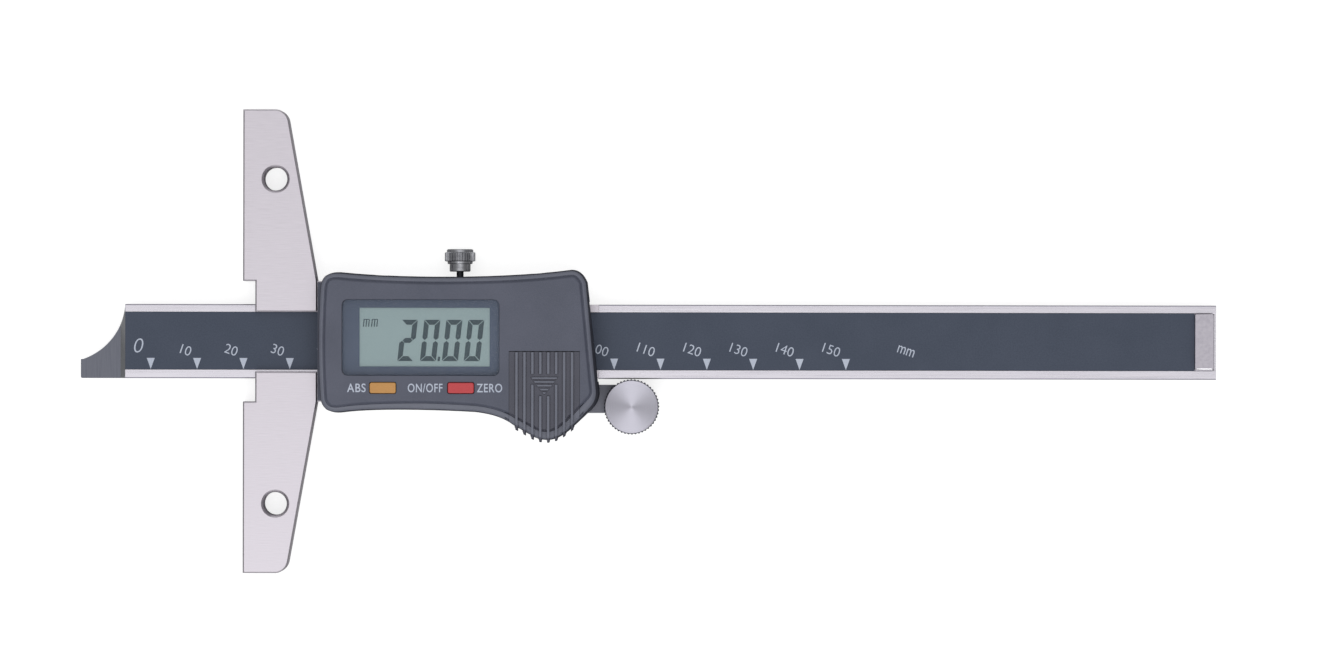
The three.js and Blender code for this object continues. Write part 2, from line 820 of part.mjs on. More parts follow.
function addDisplay() {
  const lens = rectangle(
    [-windowWidth / 2, windowWidth / 2],
    [-windowHeight / 2, windowHeight / 2],
    windowCorner,
  );
  const lensSolid = plate(lens, [0, windowThickness], windowEdge, 5);
  add("display_window", lensSolid, tintedLens, [windowMiddleX, windowMiddleY, windowBottom]);
  const lcdX = [windowMiddleX - lcdWidth / 2, windowMiddleX + lcdWidth / 2];
  const lcdY = [windowMiddleY - lcdHeight / 2, windowMiddleY + lcdHeight / 2];
  add("lcd_panel", block(lcdX, lcdY, [lcdBottom, lcdTop]), displayGlass);
  const half = contactStripLength / 2;
  const stripX = [windowMiddleX - half, windowMiddleX + half];
  const upper = lcdY[1] - contactStripInset;
  const lower = lcdY[0] + contactStripInset;
  const z = [boardTopZ, lcdBottom];
  const upperStrip = block(stripX, [upper - contactStripWidth, upper], z);
  const lowerStrip = block(stripX, [lower, lower + contactStripWidth], z);
  add("lcd_contact_strip_upper", upperStrip, greyRubber);
  add("lcd_contact_strip_lower", lowerStrip, greyRubber);
}

function addBoard() {
  let board = block([boardLeft, boardRight], [boardBottom, boardTop], [boardBottomZ, boardTopZ]);
  for (const x of boardScrewX) {
    const hole = [boardBottomZ - overrun, boardTopZ + overrun];
    board = board.subtract(rodZ(smallShankRadius + seatGap, x, boardScrewY, hole, 16));
  }
  add("main_board", board, boardGreen);
  const names = ["board_screw_left", "board_screw_right"];
  boardScrewX.forEach((x, i) => {
    const length = smallHeadHeight + boardThickness + boardScrewReach();
    const body = screw(smallHeadRadius, smallHeadHeight, smallShankRadius, length);
    const mesh = add(names[i], body, screwSteel, [x, boardScrewY, boardTopZ + smallHeadHeight]);
    mesh.rotation.x = Math.PI;
  });
  const matRoom = smallHeadRadius + matMargin;
  const matX = [boardScrewX[0] + matRoom, boardScrewX[1] - matRoom];
  const matY = [buttonY - matHeight / 2, buttonY + matHeight / 2];
  let mat = block(matX, matY, [boardTopZ, boardTopZ + matThickness]);
  for (const x of [absX, zeroX]) {
    const dome = turned([
      [0, 0],
      [domeRadius, 0],
      [domeRadius, matThickness],
      [domeTopRadius, matThickness + domeHeight],
      [0, matThickness + domeHeight],
    ]);
    mat = mat.add(dome.translate([x, buttonY, boardTopZ]));
  }
  add("contact_mat", mat, greyRubber);
}

// A button: its cap, the flange that holds it in, and the stem over the dome
function buttonSolid() {
  const outline = buttonOutline(0, 0);
  const flange = buttonOutline(0, flangeMargin);
  const flangeTop = ceiling - flangeGap;
  const cap = plate(outline, [flangeTop - flangeThickness, housingTop + buttonProud], buttonEdge, 3);
  const rim = plate(flange, [flangeTop - flangeThickness, flangeTop], 0, 3);
  const stem = rodZ(stemRadius, 0, buttonY, [stemBottom, flangeTop], 20);
  return cap.add(rim).add(stem);
}

function addButtons() {
  add("abs_button", buttonSolid(), orangePlastic, [absX, 0, 0]);
  add("zero_button", buttonSolid(), redPlastic, [zeroX, 0, 0]);
}

function addBattery() {
  const cell = turned(
    [
      [0, 0],
      [cellCapRadius, 0],
      [cellCapRadius, cellCapHeight],
      [cellRadius, cellCapHeight],
      [cellRadius, cellHeight - panelEdge],
      [cellRadius - panelEdge, cellHeight],
      [0, cellHeight],
    ],
    40,
  );
  add("battery_cell", cell, nickel, [cellX, cellY, cellBottom]);
  const half = contactWidth / 2;
  const minusX = [cellX - cellCapRadius, cellX + cellCapRadius];
  const minusZ = [bayFloorZ, bayFloorZ + contactThickness];
  add("battery_contact_minus", block(minusX, [cellY - half, cellY + half], minusZ), nickel);
  const plusRight = cellX - cellRadius - seatGap;
  const plusX = [plusRight - contactThickness, plusRight];
  const plusZ = [bayFloorZ, bayFloorZ + plusContactHeight];
  add("battery_contact_plus", block(plusX, [cellY - half, cellY + half], plusZ), nickel);
}

// Battery cover: the housing's own form inside the opening, with tongues and grip ridges
function coverSolid() {
  let body = housingBlank().intersect(coverOpening(seatGap));
  body = body.add(tongues(seatGap, [tongueTop - tongueLength, tongueTop]));
  const rise = [bayFloorZ + seatGap, housingTop + ridgeProud];
  const envelope = roundTopped(housingOutline(), rise, -ridgeReach, shoulderInset, 3);
  const foot = -housingHalfHeight - coverReach;
  for (let i = 0; i < ridgeCount; i += 1) {
    const x = ridgeStart + i * ridgePitch;
    const fromEnd = Math.min(i, ridgeCount - 1 - i);
    const spans = [[foot, ridgeTop]];
    if (fromEnd > 1) spans.splice(0, 1, [arrowTop, ridgeTop], [foot, arrowFoot(fromEnd)]);
    for (const y of spans) {
      const width = [x - ridgeWidth / 2, x + ridgeWidth / 2];
      const ridge = block(width, y, [bayFloorZ, housingTop + overrun]);
      body = body.add(ridge.intersect(envelope).intersect(ridgeSpace()));
    }
  }
  return body;
}

function arrowFoot(fromEnd) {
  return fromEnd === 2 ? arrowSide : arrowPoint;
}

// Where ridges may stand: above the cover's plate, and outside its lip
function ridgeSpace() {
  const x = [coverLeft, coverRight];
  const foot = -housingHalfHeight - coverReach;
  const above = block(x, [foot, coverTop], [housingTop - ridgeRoot, housingTop + overrun]);
  return above.add(block(x, [foot, coverLipTop - seatGap], [bayFloorZ, housingTop]));
}

// Thumb roller with its blind bore, the bracket behind it and the pin between them
function addRoller() {
  const wheelOutline = knurled(rollerRadius, rollerToothDepth, rollerTeeth);
  const bore = rodZ(pinRadius + seatGap, 0, 0, [-overrun, pinReach + seatGap], 24);
  const wheel = plate(wheelOutline, [0, rollerThickness], rollerEdge).subtract(bore);
  add("thumb_roller", wheel, knurledSteel, [rollerX, rollerY, rollerBottom]);
  add("roller_bracket", bracketSolid(), bracketPlastic);
  const pinLength = rollerBottom + pinReach - bracketBack;
  const pin = screw(pinHeadRadius, pinHeadHeight, pinRadius, pinLength);
  add("roller_axle", pin, screwSteel, [rollerX, rollerY, bracketBack]);
  bracketScrewX.forEach((x, i) => {
    const length = bracketThickness + screwDepth - screwHeadHeight - seatGap;
    const body = screw(smallHeadRadius, smallHeadHeight, smallShankRadius, length);
    add(`bracket_screw_${i + 1}`, body, screwSteel, [x, bracketScrewY, bracketBack]);
  });
}

function bracketSolid() {
  const z = [bracketBack, bracketTopZ];
  const arm = rounded([
    [bracketLeft, bracketStep, bracketCorner],
    [frameEnd - bracketCorner, bracketStep, bracketCorner],
    [frameEnd + bracketCorner, bracketBottom, bracketCorner],
    [rollerX, bracketBottom],
    [rollerX, bracketTop],
    [bracketLeft, bracketTop, bracketCorner],
  ]);
  let body = plate(arm, z, 0, 4).add(rodZ(bracketEndRadius, rollerX, rollerY, z, 40));
  const through = [0, bracketTopZ + overrun];
  const headRoom = [0, bracketBack + pinHeadHeight + seatGap];
  body = body.subtract(rodZ(pinRadius + seatGap, rollerX, rollerY, through, 24));
  body = body.subtract(rodZ(pinHeadRadius + seatGap, rollerX, rollerY, headRoom, 32));
  for (const x of bracketScrewX) {
    const room = [0, bracketBack + smallHeadHeight + seatGap];
    body = body.subtract(rodZ(smallShankRadius + seatGap, x, bracketScrewY, through, 16));
    body = body.subtract(rodZ(smallHeadRadius + seatGap, x, bracketScrewY, room, 20));
  }
  return body;
}

// Lock screw, about its own axis: thread, neck, hub, flared collar and knurled head
function lockSolid() {
  const start = gibBack + looseGap;
  const neckStart = frameHalf - seatGap;
  const stem = turned([
    [0, start],
    [lockThreadRadius, start],
    [lockThreadRadius, neckStart],
    [lockNeckRadius, neckStart],
    [lockNeckRadius, lockHubStart],
    [lockHubRadius, lockHubStart],
    [lockHubRadius, lockHubStart + lockHubLength],
    [lockCollarRadius, lockHeadStart + lockHeadEdge],
    [0, lockHeadStart + lockHeadEdge],
  ]);
  const headTop = lockHeadStart + lockHeadLength;
  const headOutline = knurled(lockHeadRadius, lockToothDepth, lockTeeth);
  const head = plate(headOutline, [lockHeadStart, headTop], lockHeadEdge);
  const capTop = headTop + lockCapHeight;
  const cap = turned([
    [0, headTop - lockHeadEdge],
    [lockCapRadius, headTop - lockHeadEdge],
    [lockCapRadius, capTop - lockHeadEdge],
    [lockCapRadius - lockHeadEdge, capTop],
    [0, capTop],
  ]);
  return stem.add(head).add(cap);
}

function addLock() {
  const mesh = add("lock_screw", lockSolid(), darkChrome, [lockX, 0, beamMiddle]);
  mesh.rotation.x = -Math.PI / 2;
}

addBase();
addBeam();
addHousing();
addDisplay();
addBoard();
addButtons();
addBattery();
add("battery_cover", coverSolid(), darkPlastic);
addRoller();
addLock();

export default gauge;
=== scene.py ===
# %% [markdown]
# A digital depth gauge, dressed for its portrait
# This lesson takes the plain solids of a depth gauge and gives them the looks of the real tool.
# The gauge lies on its back: a steel cross base, a beam with a printed scale that slides through
# it, a moulded housing with a display, two keys, a battery cover, a thumb roller and a lock screw.
# Everything is in metres, X runs along the beam, Y across it, and Z comes up out of the display.

import math

import bmesh
import bpy
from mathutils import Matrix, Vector


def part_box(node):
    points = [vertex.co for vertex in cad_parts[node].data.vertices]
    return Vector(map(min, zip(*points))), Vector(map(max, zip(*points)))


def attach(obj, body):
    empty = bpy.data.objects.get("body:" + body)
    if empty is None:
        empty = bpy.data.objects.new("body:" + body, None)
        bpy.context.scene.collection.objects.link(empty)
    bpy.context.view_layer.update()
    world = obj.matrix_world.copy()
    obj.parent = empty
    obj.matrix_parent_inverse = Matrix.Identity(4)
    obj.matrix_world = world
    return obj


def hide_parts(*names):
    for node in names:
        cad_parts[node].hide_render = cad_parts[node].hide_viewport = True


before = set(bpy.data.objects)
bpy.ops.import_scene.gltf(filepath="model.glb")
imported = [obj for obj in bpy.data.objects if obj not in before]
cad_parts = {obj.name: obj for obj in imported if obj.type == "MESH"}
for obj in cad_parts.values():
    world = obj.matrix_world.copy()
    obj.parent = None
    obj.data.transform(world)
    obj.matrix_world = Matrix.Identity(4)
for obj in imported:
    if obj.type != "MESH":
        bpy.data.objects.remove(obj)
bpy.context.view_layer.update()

# %% [markdown]
# Measuring from the work itself
# A machinist measures a depth gauge from its measuring face, so this lesson does too. Lengths are
# written in millimetres from that face, from the middle of the beam and from the back of the tool,
# and one small function turns them into Blender's metres.

# %% A place in millimetres
MM = 0.001
face_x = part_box("base_slider")[0].x
print("measuring face at x =", round(face_x / MM, 3), "mm")


def at(x, y, z=0.0):
    return Vector((face_x + x * MM, y * MM, z * MM))


def box_mm(node):
    low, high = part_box(node)
    shift = Vector((face_x, 0, 0))
    return (low - shift) / MM, (high - shift) / MM


def middle_mm(node):
    return [(a + b) / 2 for a, b in zip(*box_mm(node))]


def height_mm(node):
    low, high = box_mm(node)
    return high.z - low.z


def spans_mm(node, room):
    low, high = box_mm(node)
    return (low.x - room, high.x + room), (low.y - room, high.y + room)


def around(middle, half):
    return middle - half, middle + half


# %% [markdown]
# Camera
# The photograph was taken from straight above with a long lens, which keeps the two ends of the
# beam the same size. A wide lens close by would bend them away, so the camera here stands high
# over the gauge with a narrow view, and is turned by a tenth of a degree as the real one was.

# %% The camera
focal_length, sensor_width, camera_height = 202.2, 36, 1.605
centred, turned = (0.00255, 0.00256, camera_height), (0, 0, 0.0016)
bpy.ops.object.camera_add(location=centred, rotation=turned)
camera = bpy.context.object
camera.data.lens = focal_length
camera.data.sensor_width = sensor_width
camera.data.clip_start = 0.1
bpy.context.scene.camera = camera
view_width = sensor_width / focal_length * camera_height / MM
print("view is", round(view_width, 1), "mm wide at the gauge")

# %% [markdown]
# Hands and eyes
# Each piece is made the way a person would make it in the window: a primitive is dropped in, some
# of its faces are picked, and a tool is used on them. These small helpers pick an object, pick
# faces or edges by their place, and finish a piece so that it can ride on its body.


# %% Picking things
def pick(piece):
    bpy.ops.object.select_all(action="DESELECT")
    piece.select_set(True)
    bpy.context.view_layer.objects.active = piece


def edit(piece):
    pick(piece)
    bpy.ops.object.mode_set(mode="EDIT")
    bpy.ops.mesh.select_mode(type="FACE")


def leave():
    bpy.ops.object.mode_set(mode="OBJECT")


def select_only(piece, kind, wanted):
    bpy.ops.mesh.select_mode(type=kind)
    bpy.ops.mesh.select_all(action="DESELECT")
    mesh = bmesh.from_edit_mesh(piece.data)
    for element in {"VERT": mesh.verts, "EDGE": mesh.edges, "FACE": mesh.faces}[kind]:
        element.select_set(wanted(element))
    bmesh.update_edit_mesh(piece.data)


def face_outward():
    bpy.ops.mesh.select_all(action="SELECT")
    bpy.ops.mesh.normals_make_consistent(inside=False)


def pull_up(rise):
    bpy.ops.mesh.extrude_region_move(TRANSFORM_OT_translate={"value": (0, 0, rise * MM)})


def settle(piece):
    pick(piece)
    bpy.ops.object.transform_apply(location=True, rotation=True, scale=True)


def new_piece(name):
    piece = bpy.context.object
    piece.name = name
    piece.data.name = name
    return piece


def copy_of(source, name):
    piece = bpy.data.objects.new(name, source.data.copy())
    bpy.context.scene.collection.objects.link(piece)
    return piece


def scale_flat(share):
    bpy.ops.transform.resize(value=(share, share, 1), center_override=(0, 0, 0))


# %% Modifiers that are used up at once
def apply_modifier(piece, kind, **settings):
    pick(piece)
    modifier = piece.modifiers.new(kind.lower(), kind)
    for key, value in settings.items():
        setattr(modifier, key, value)
    bpy.ops.object.modifier_apply(modifier=modifier.name)


def bevel_edges(piece, width, segments=2, angle=35):
    apply_modifier(
        piece, "BEVEL", width=width * MM, segments=segments, limit_method="ANGLE",
        angle_limit=math.radians(angle),
    )


def combine(piece, other, operation="DIFFERENCE"):
    apply_modifier(piece, "BOOLEAN", object=other, operation=operation, solver="EXACT")
    bpy.data.objects.remove(other)


def tidy_mesh(piece, flat_angle=0.3):
    edit(piece)
    bpy.ops.mesh.select_all(action="SELECT")
    bpy.ops.mesh.remove_doubles(threshold=0.002 * MM)
    bpy.ops.mesh.dissolve_limited(angle_limit=math.radians(flat_angle))
    leave()


def smooth(piece, angle=32):
    pick(piece)
    bpy.ops.object.shade_smooth_by_angle(angle=math.radians(angle))
    apply_modifier(piece, "WEIGHTED_NORMAL", keep_sharp=True, weight=80)


# %% Handing a piece over to its body, and giving some of its faces another finish
def hand_over(piece, body, slot, material, *nodes):
    piece.data.materials.clear()
    piece.data.materials.append(material)
    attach(piece, body)
    if nodes:
        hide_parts(*nodes)
    print(piece.name, "faces:", len(piece.data.polygons), "rides on", body)


def repaint(piece, material, wanted):
    piece.data.materials.append(material)
    for face in piece.data.polygons:
        if wanted(face):
            face.material_index = len(piece.data.materials) - 1


# %% [markdown]
# Colours
# Colours are written as they look on a screen, from 0 to 255, and turned into the light that
# Blender counts with. Every finish below has its own small texture of noise, because no real
# surface has one even colour.


# %% A colour as seen on a screen
def seen(red, green, blue):
    def light(value):
        value = value / 255
        return value / 12.92 if value <= 0.04045 else ((value + 0.055) / 1.055) ** 2.4

    return light(red), light(green), light(blue), 1.0


# %% The start of every finish
def fill(node, inputs):
    for socket, value in inputs.items():
        if isinstance(value, bpy.types.NodeSocket):
            node.id_data.links.new(value, node.inputs[socket])
        else:
            node.inputs[socket].default_value = value


def add_node(tree, kind, inputs=(), **settings):
    node = tree.nodes.new("ShaderNode" + kind)
    for key, value in settings.items():
        setattr(node, key, value)
    fill(node, dict(inputs))
    return node


def finish(name, roughness, metallic=0.0):
    material = bpy.data.materials.new(name)
    material.use_nodes = True
    shader = material.node_tree.nodes["Principled BSDF"]
    fill(shader, {"Roughness": roughness, "Metallic": metallic})
    return material, material.node_tree, shader


# %% What every finish is made of
def texture_noise(tree, per_metre, detail=2.0, centre=(0, 0, 0)):
    mapping = add_node(tree, "Mapping", {
        "Vector": add_node(tree, "TexCoord").outputs["Object"],
        "Location": [-c * s for c, s in zip(centre, per_metre)],
        "Scale": per_metre,
    })
    inputs = {"Vector": mapping.outputs["Vector"], "Scale": 1.0, "Detail": detail}
    return add_node(tree, "TexNoise", inputs).outputs["Fac"]


def two_tones(tree, factor, dark, light, low=0.3, high=0.7):
    ramp = add_node(tree, "ValToRGB", {"Fac": factor})
    stops = ramp.color_ramp.elements
    stops[0].position, stops[0].color = low, seen(*dark)
    stops[1].position, stops[1].color = high, seen(*light)
    return ramp.outputs["Color"]


def spread(tree, factor, low, high):
    inputs = {"Value": factor, "From Min": 0.3, "From Max": 0.7, "To Min": low, "To Max": high}
    return add_node(tree, "MapRange", inputs).outputs["Result"]


def bumps(tree, height, strength, depth_mm):
    inputs = {"Height": height, "Strength": strength, "Distance": depth_mm * MM}
    return add_node(tree, "Bump", inputs).outputs["Normal"]


# %% [markdown]
# Ground and brushed steel
# The base and the rails are hardened stainless steel, finished on a fine belt. The belt leaves
# long scratches one way, so the noise is stretched: slow along the scratch, quick across it. It
# drives the tone, the roughness and a very low bump together, as one scratch changes all three.


# %% Brushed steel
def brushed_steel(name, dark, light, roughness, along=260.0, across=7000.0):
    material, tree, shader = finish(name, roughness, 1.0)
    grain = texture_noise(tree, (along, across, across), 4.0)
    fill(shader, {
        "Base Color": two_tones(tree, grain, dark, light, 0.28, 0.72),
        "Roughness": spread(tree, grain, roughness - 0.06, roughness + 0.08),
        "Normal": bumps(tree, grain, 0.35, 0.004),
    })
    return material


base_steel = brushed_steel("base_steel", (187, 182, 189), (201, 196, 203), 0.36)
rail_steel = brushed_steel("rail_steel", (186, 183, 191), (203, 200, 207), 0.28, 60.0)
# The dark tip steel is the tip's own finish, and is also painted shade on the cut rail ends and in
# the slit.
tip_and_shade_steel = brushed_steel("tip_and_shade_steel", (94, 96, 105), (109, 111, 120), 0.42, 4000.0, 200.0)
milled_steel = brushed_steel("milled_steel", (162, 164, 168), (184, 186, 189), 0.4, 3000.0)
# This near-white steel is a painted highlight on the end stop's lower bevel.
stop_highlight_steel = brushed_steel("stop_highlight_steel", (226, 225, 229), (240, 239, 243), 0.2)
# The darker edge steel is painted shade along the rails' outer long edges.
edge_shade_steel = brushed_steel("edge_shade_steel", (142, 139, 152), (162, 159, 172), 0.3, 60.0)
screw_steel = brushed_steel("screw_steel", (150, 151, 156), (182, 183, 188), 0.3, 700.0)
nickel = brushed_steel("nickel", (196, 197, 194), (218, 218, 214), 0.24, 900.0)
brass = brushed_steel("bearing_brass", (176, 142, 80), (201, 166, 98), 0.34, 90.0)
print("steels:", [m.name for m in bpy.data.materials if m.name.endswith("steel")])

# %% [markdown]
# Turned steel
# The face of the thumb roller was cut on a lathe. The tool leaves rings round the middle, and
# rings throw light to two sides, which is the bow tie seen on every turned face. The rings are a
# wave texture round the roller's own axis, and the shader's anisotropy follows the same circle.


# %% The turned face
def turned_steel(name, dark, light, centre):
    material, tree, shader = finish(name, 0.42, 1.0)
    place = add_node(tree, "TexCoord").outputs["Object"]
    mapping = add_node(tree, "Mapping", {"Vector": place, "Location": (-centre.x, -centre.y, 0)})
    inputs = {
        "Vector": mapping.outputs["Vector"], "Scale": 900.0, "Distortion": 0.6, "Detail": 2.0,
    }
    rings = add_node(tree, "TexWave", inputs, wave_type="RINGS", rings_direction="Z")
    tangent = add_node(tree, "Tangent", direction_type="RADIAL", axis="Z")
    fill(shader, {
        "Base Color": two_tones(tree, rings.outputs["Fac"], dark, light, 0.0, 1.0),
        "Normal": bumps(tree, rings.outputs["Fac"], 0.5, 0.01),
        "Anisotropic": 0.9, "Anisotropic Rotation": 0.25,
        "Tangent": tangent.outputs["Tangent"],
    })
    return material


roller_low, roller_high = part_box("thumb_roller")
roller_axis = (roller_low + roller_high) / 2
roller_steel = turned_steel("roller_steel", (174, 173, 184), (192, 190, 200), roller_axis)
# The knurled ring's dark steel is painted shade between its teeth.
knurl_shade_steel = brushed_steel("knurl_shade_steel", (66, 66, 74), (94, 94, 103), 0.35, 900.0)

# %% [markdown]
# Dark chrome
# The lock screw is plated dark, and its neck is blackened. Plating is smooth but never quite
# even, so a soft cloudy noise moves the tone a little, and the metal stays glossy. The end stop
# was blasted with fine beads, which is the same cloudiness on a pale, matt metal.


# %% Plated and blasted metal
def cloudy_metal(name, dark, light, roughness):
    material, tree, shader = finish(name, roughness, 1.0)
    cloud = texture_noise(tree, (1400, 1400, 1400), 3.0)
    fill(shader, {
        "Base Color": two_tones(tree, cloud, dark, light),
        "Roughness": spread(tree, cloud, roughness - 0.05, roughness + 0.08),
        "Normal": bumps(tree, cloud, 0.2, 0.005),
    })
    return material


dark_chrome = cloudy_metal("dark_chrome", (150, 151, 156), (178, 179, 184), 0.12)
blackened = cloudy_metal("blackened", (44, 45, 49), (62, 63, 68), 0.3)
stop_steel = cloudy_metal("stop_steel", (167, 163, 172), (190, 186, 194), 0.5)

# %% [markdown]
# Moulded plastic
# The housing is moulded in a spark-eroded tool, which leaves a fine even grain like very small
# orange peel. Two noises are mixed: a fine one for the grain, and a broad faint one for the slow
# change of tone that handling gives. The grain is bump and roughness more than colour. The steep
# side walls are duller and, as painted shade, darker than the face. The crests of the ribs, where
# the thumb rubs, are paler and smoother, and the shoulder is as pale as painted light. The cover
# is a shade darker than the housing. So the same plastic is mixed four times.


# %% Moulded plastic
def moulded(name, dark, light, roughness, grain_size=0.16, depth=0.012, gloss=0.35):
    material, tree, shader = finish(name, roughness)
    per_metre = 1 / (grain_size * MM)
    grain = texture_noise(tree, (per_metre, per_metre, per_metre))
    broad = texture_noise(tree, (110, 110, 110), centre=(0.3, 0.2, 0.1))
    both = add_node(tree, "Mix", {"Factor": 0.35, "A": grain, "B": broad}).outputs["Result"]
    fill(shader, {
        "Base Color": two_tones(tree, both, dark, light, 0.35, 0.65),
        "Roughness": spread(tree, grain, roughness - 0.05, roughness + 0.07),
        "Normal": bumps(tree, grain, 0.35, depth),
        "Specular IOR Level": gloss,
    })
    return material


# %% The plastics
housing_plastic = moulded("housing_plastic", (79, 83, 97), (93, 96, 111), 0.5)
cover_plastic = moulded("cover_plastic", (71, 72, 83), (84, 85, 97), 0.5)
# The wall plastic is duller than the face, and its darker tone is painted shade on the steep
# walls.
wall_shade_plastic = moulded("wall_shade_plastic", (60, 62, 71), (72, 74, 84), 0.8, gloss=0.04)
# The paler plastic is wear on the rib crests and painted light on the rounded shoulder.
worn_and_lit_plastic = moulded("worn_and_lit_plastic", (98, 101, 114), (112, 115, 128), 0.4)
# The roller arm's plastic is paler than the housing's as painted light, making up for the shade
# under the housing and roller.
bracket_plastic = moulded("bracket_plastic", (120, 121, 133), (134, 135, 147), 0.5)
orange_plastic = moulded("orange_plastic", (186, 135, 75), (202, 150, 88), 0.45)
red_plastic = moulded("red_plastic", (185, 60, 65), (201, 74, 78), 0.45)
grey_rubber = moulded("grey_rubber", (74, 76, 80), (92, 94, 98), 0.8, 0.3)
circuit_board = moulded("circuit_board", (36, 78, 50), (52, 98, 66), 0.5, 0.4)

# %% [markdown]
# Film, ink and glass
# The scale is a printed film glued between the rails, and the ink on it is pale and a little
# speckled. The display is a grey-green glass behind a clear lens, and the lens carries a dark
# printed border. A clear lens is a thin tinted skin here: the light goes through it, and only its
# gloss is seen, so the digits under it stay sharp.


# %% Film and ink
scale_film = moulded("scale_film", (56, 65, 82), (67, 75, 92), 0.5, 0.3, 0.004)
pale_ink = moulded("pale_ink", (178, 186, 203), (198, 205, 219), 0.6, 0.2, 0.002)
border_ink = moulded("border_ink", (72, 83, 103), (84, 95, 115), 0.35, 0.25, 0.002)
digit_ink = moulded("digit_ink", (56, 72, 76), (68, 84, 87), 0.5, 0.2, 0.002)

# %% The display glass
lcd_glass, tree, shader = finish("lcd_glass", 0.32)
fine = texture_noise(tree, (3500, 3500, 3500))
fill(shader, {
    "Base Color": two_tones(tree, fine, (149, 170, 171), (160, 182, 182), 0.2, 0.8),
    "Roughness": spread(tree, fine, 0.28, 0.38),
})

# %% The clear lens
window_clear, tree, shader = finish("window_clear", 0.06)
haze = texture_noise(tree, (500, 500, 500))
fill(shader, {
    "Base Color": seen(120, 130, 150), "Alpha": 0.06, "Roughness": spread(tree, haze, 0.04, 0.1),
})
print("finishes:", len(bpy.data.materials))

# %% [markdown]
# The housing's outline
# Seen from above, the housing is a soft shape: its top edge sags, its right end leans in, and
# under the battery it swells into a chin. A box with rounded corners would miss all of that. A
# closed Bezier curve draws it with 13 points, each with its two handles, like a ship's curve
# pinned down on a drawing board. Filled and pulled up, the curve becomes the moulding.

# %% The points of the outline, in millimetres from the measuring face
housing_left, housing_length, housing_half = 16.1, 60.8, 15.5
outline_start = (0.008, -0.813)
outline_turns = [
    (-0.0066, -0.03, 0.0073, 0.743),
    (0.0117, 0.993, 0.09, 0.961),
    (0.278, 0.884, 0.656, 0.871, 0.9, 1.0035),
    (0.9385, 1.004, 0.957, 0.822),
    (0.9995, -0.671),
    (1.0033, -0.845, 0.9638, -0.974),
    (0.9046, -1.194),
    (0.855, -1.375, 0.814, -1.37),
    (0.782, -1.37, 0.757, -1.307),
    (0.694, -1.166),
    (0.648, -1.021, 0.5576, -0.983),
    (0.42, -0.952, 0.2, -0.93, 0.0888, -0.99),
    (0.0245, -1.022, 0.008, -0.813),
]


def outline_point(x, y):
    return Vector((housing_left + x * housing_length, y * housing_half))


def outline_knots():
    here = outline_point(*outline_start)
    knots = []
    for turn in outline_turns:
        points = [outline_point(*turn[i : i + 2]) for i in range(0, len(turn), 2)]
        end = points[-1]
        if len(points) == 1:
            first, second = here.lerp(end, 1 / 3), here.lerp(end, 2 / 3)
        elif len(points) == 2:
            first, second = here.lerp(points[0], 2 / 3), end.lerp(points[0], 2 / 3)
        else:
            first, second = points[0], points[1]
        knots.append((here, first, second, end))
        here = end
    return knots


# %% The curve as a ring of edges
def outline_ring(name, z, steps=14):
    bpy.ops.curve.primitive_bezier_circle_add(radius=MM)
    curve = bpy.context.object
    curve.data.resolution_u = steps
    curve.data.dimensions = "2D"
    curve.data.fill_mode = "NONE"
    spline = curve.data.splines[0]
    knots = outline_knots()
    spline.bezier_points.add(len(knots) - len(spline.bezier_points))
    for i, (here, first, _, _) in enumerate(knots):
        point = spline.bezier_points[i]
        point.handle_left_type = point.handle_right_type = "FREE"
        point.co = at(here.x, here.y)
        point.handle_right = at(first.x, first.y)
        before = knots[i - 1][2]
        point.handle_left = at(before.x, before.y)
    pick(curve)
    bpy.ops.object.convert(target="MESH")
    ring = new_piece(name)
    bpy.ops.object.mode_set(mode="EDIT")
    bpy.ops.mesh.select_all(action="SELECT")
    bpy.ops.mesh.remove_doubles(threshold=0.01 * MM)
    bpy.ops.mesh.dissolve_limited(angle_limit=math.radians(0.2))
    bpy.ops.transform.translate(value=(0, 0, z * MM))
    return ring


# %% [markdown]
# The moulded form
# The housing and its battery cover are one smooth form cut in two, as they were in the toolroom.
# The side walls lean in a little so that the part leaves its mould. Above them comes a rounded
# shoulder, then a narrow groove, and then the raised panel that carries the print. Each step is
# an inset of the top face that also lifts or sinks it, so the whole profile follows the outline.

# %% Insets that follow a profile of (inwards, upwards) steps
skirt_bottom, shoulder_bottom, shoulder_round = 3.0, 13.3, 0.9


def follow_profile(steps):
    for inwards, upwards in steps:
        bpy.ops.mesh.inset(thickness=inwards * MM, depth=upwards * MM, use_even_offset=True)


def rounding(radius, height, count):
    steps = []
    for i in range(count):
        a, b = i * math.pi / 2 / count, (i + 1) * math.pi / 2 / count
        inwards = radius * (math.cos(a) - math.cos(b))
        steps.append((max(inwards, 0.002), height * (math.sin(b) - math.sin(a))))
    return steps


# %% Moving the picked corners a little
def nudge(blank, shift):
    mesh = bmesh.from_edit_mesh(blank.data)
    for vertex in mesh.verts:
        if vertex.select:
            x, y = shift((vertex.co.x - face_x) / MM, vertex.co.y / MM)
            vertex.co.x += x * MM
            vertex.co.y += y * MM
    bmesh.update_edit_mesh(blank.data)


# %% The two end walls lean in further than the long ones
def lean_ends_in(x, y):
    right = min(max((x - 73.5) / 1.5, 0), 1) * min(max((12.8 - y) / 7, 0), 1)
    left = min(max((18.5 - x) / 1.5, 0), 1)
    return 0.2 * left - 0.38 * right, 0


# %% The shoulder is wider along the lower edge, most of all under the battery
shoulder_gain = [
    (17, 0), (25, 0.15), (40, 0.4), (52, 0.3), (57, 0.4), (61, 0.7), (68, 0.75), (71, 1.0),
    (74.5, 0.9), (76.5, 0.2),
]


def widen_shoulder(x, y, start_y=-9):
    for (x1, gain1), (x2, gain2) in zip(shoulder_gain, shoulder_gain[1:]):
        if x1 <= x < x2 and y <= start_y:
            gain = gain1 + (gain2 - gain1) * (x - x1) / (x2 - x1)
            return 0, gain * min((start_y - y) / 3, 1)
    return 0, 0


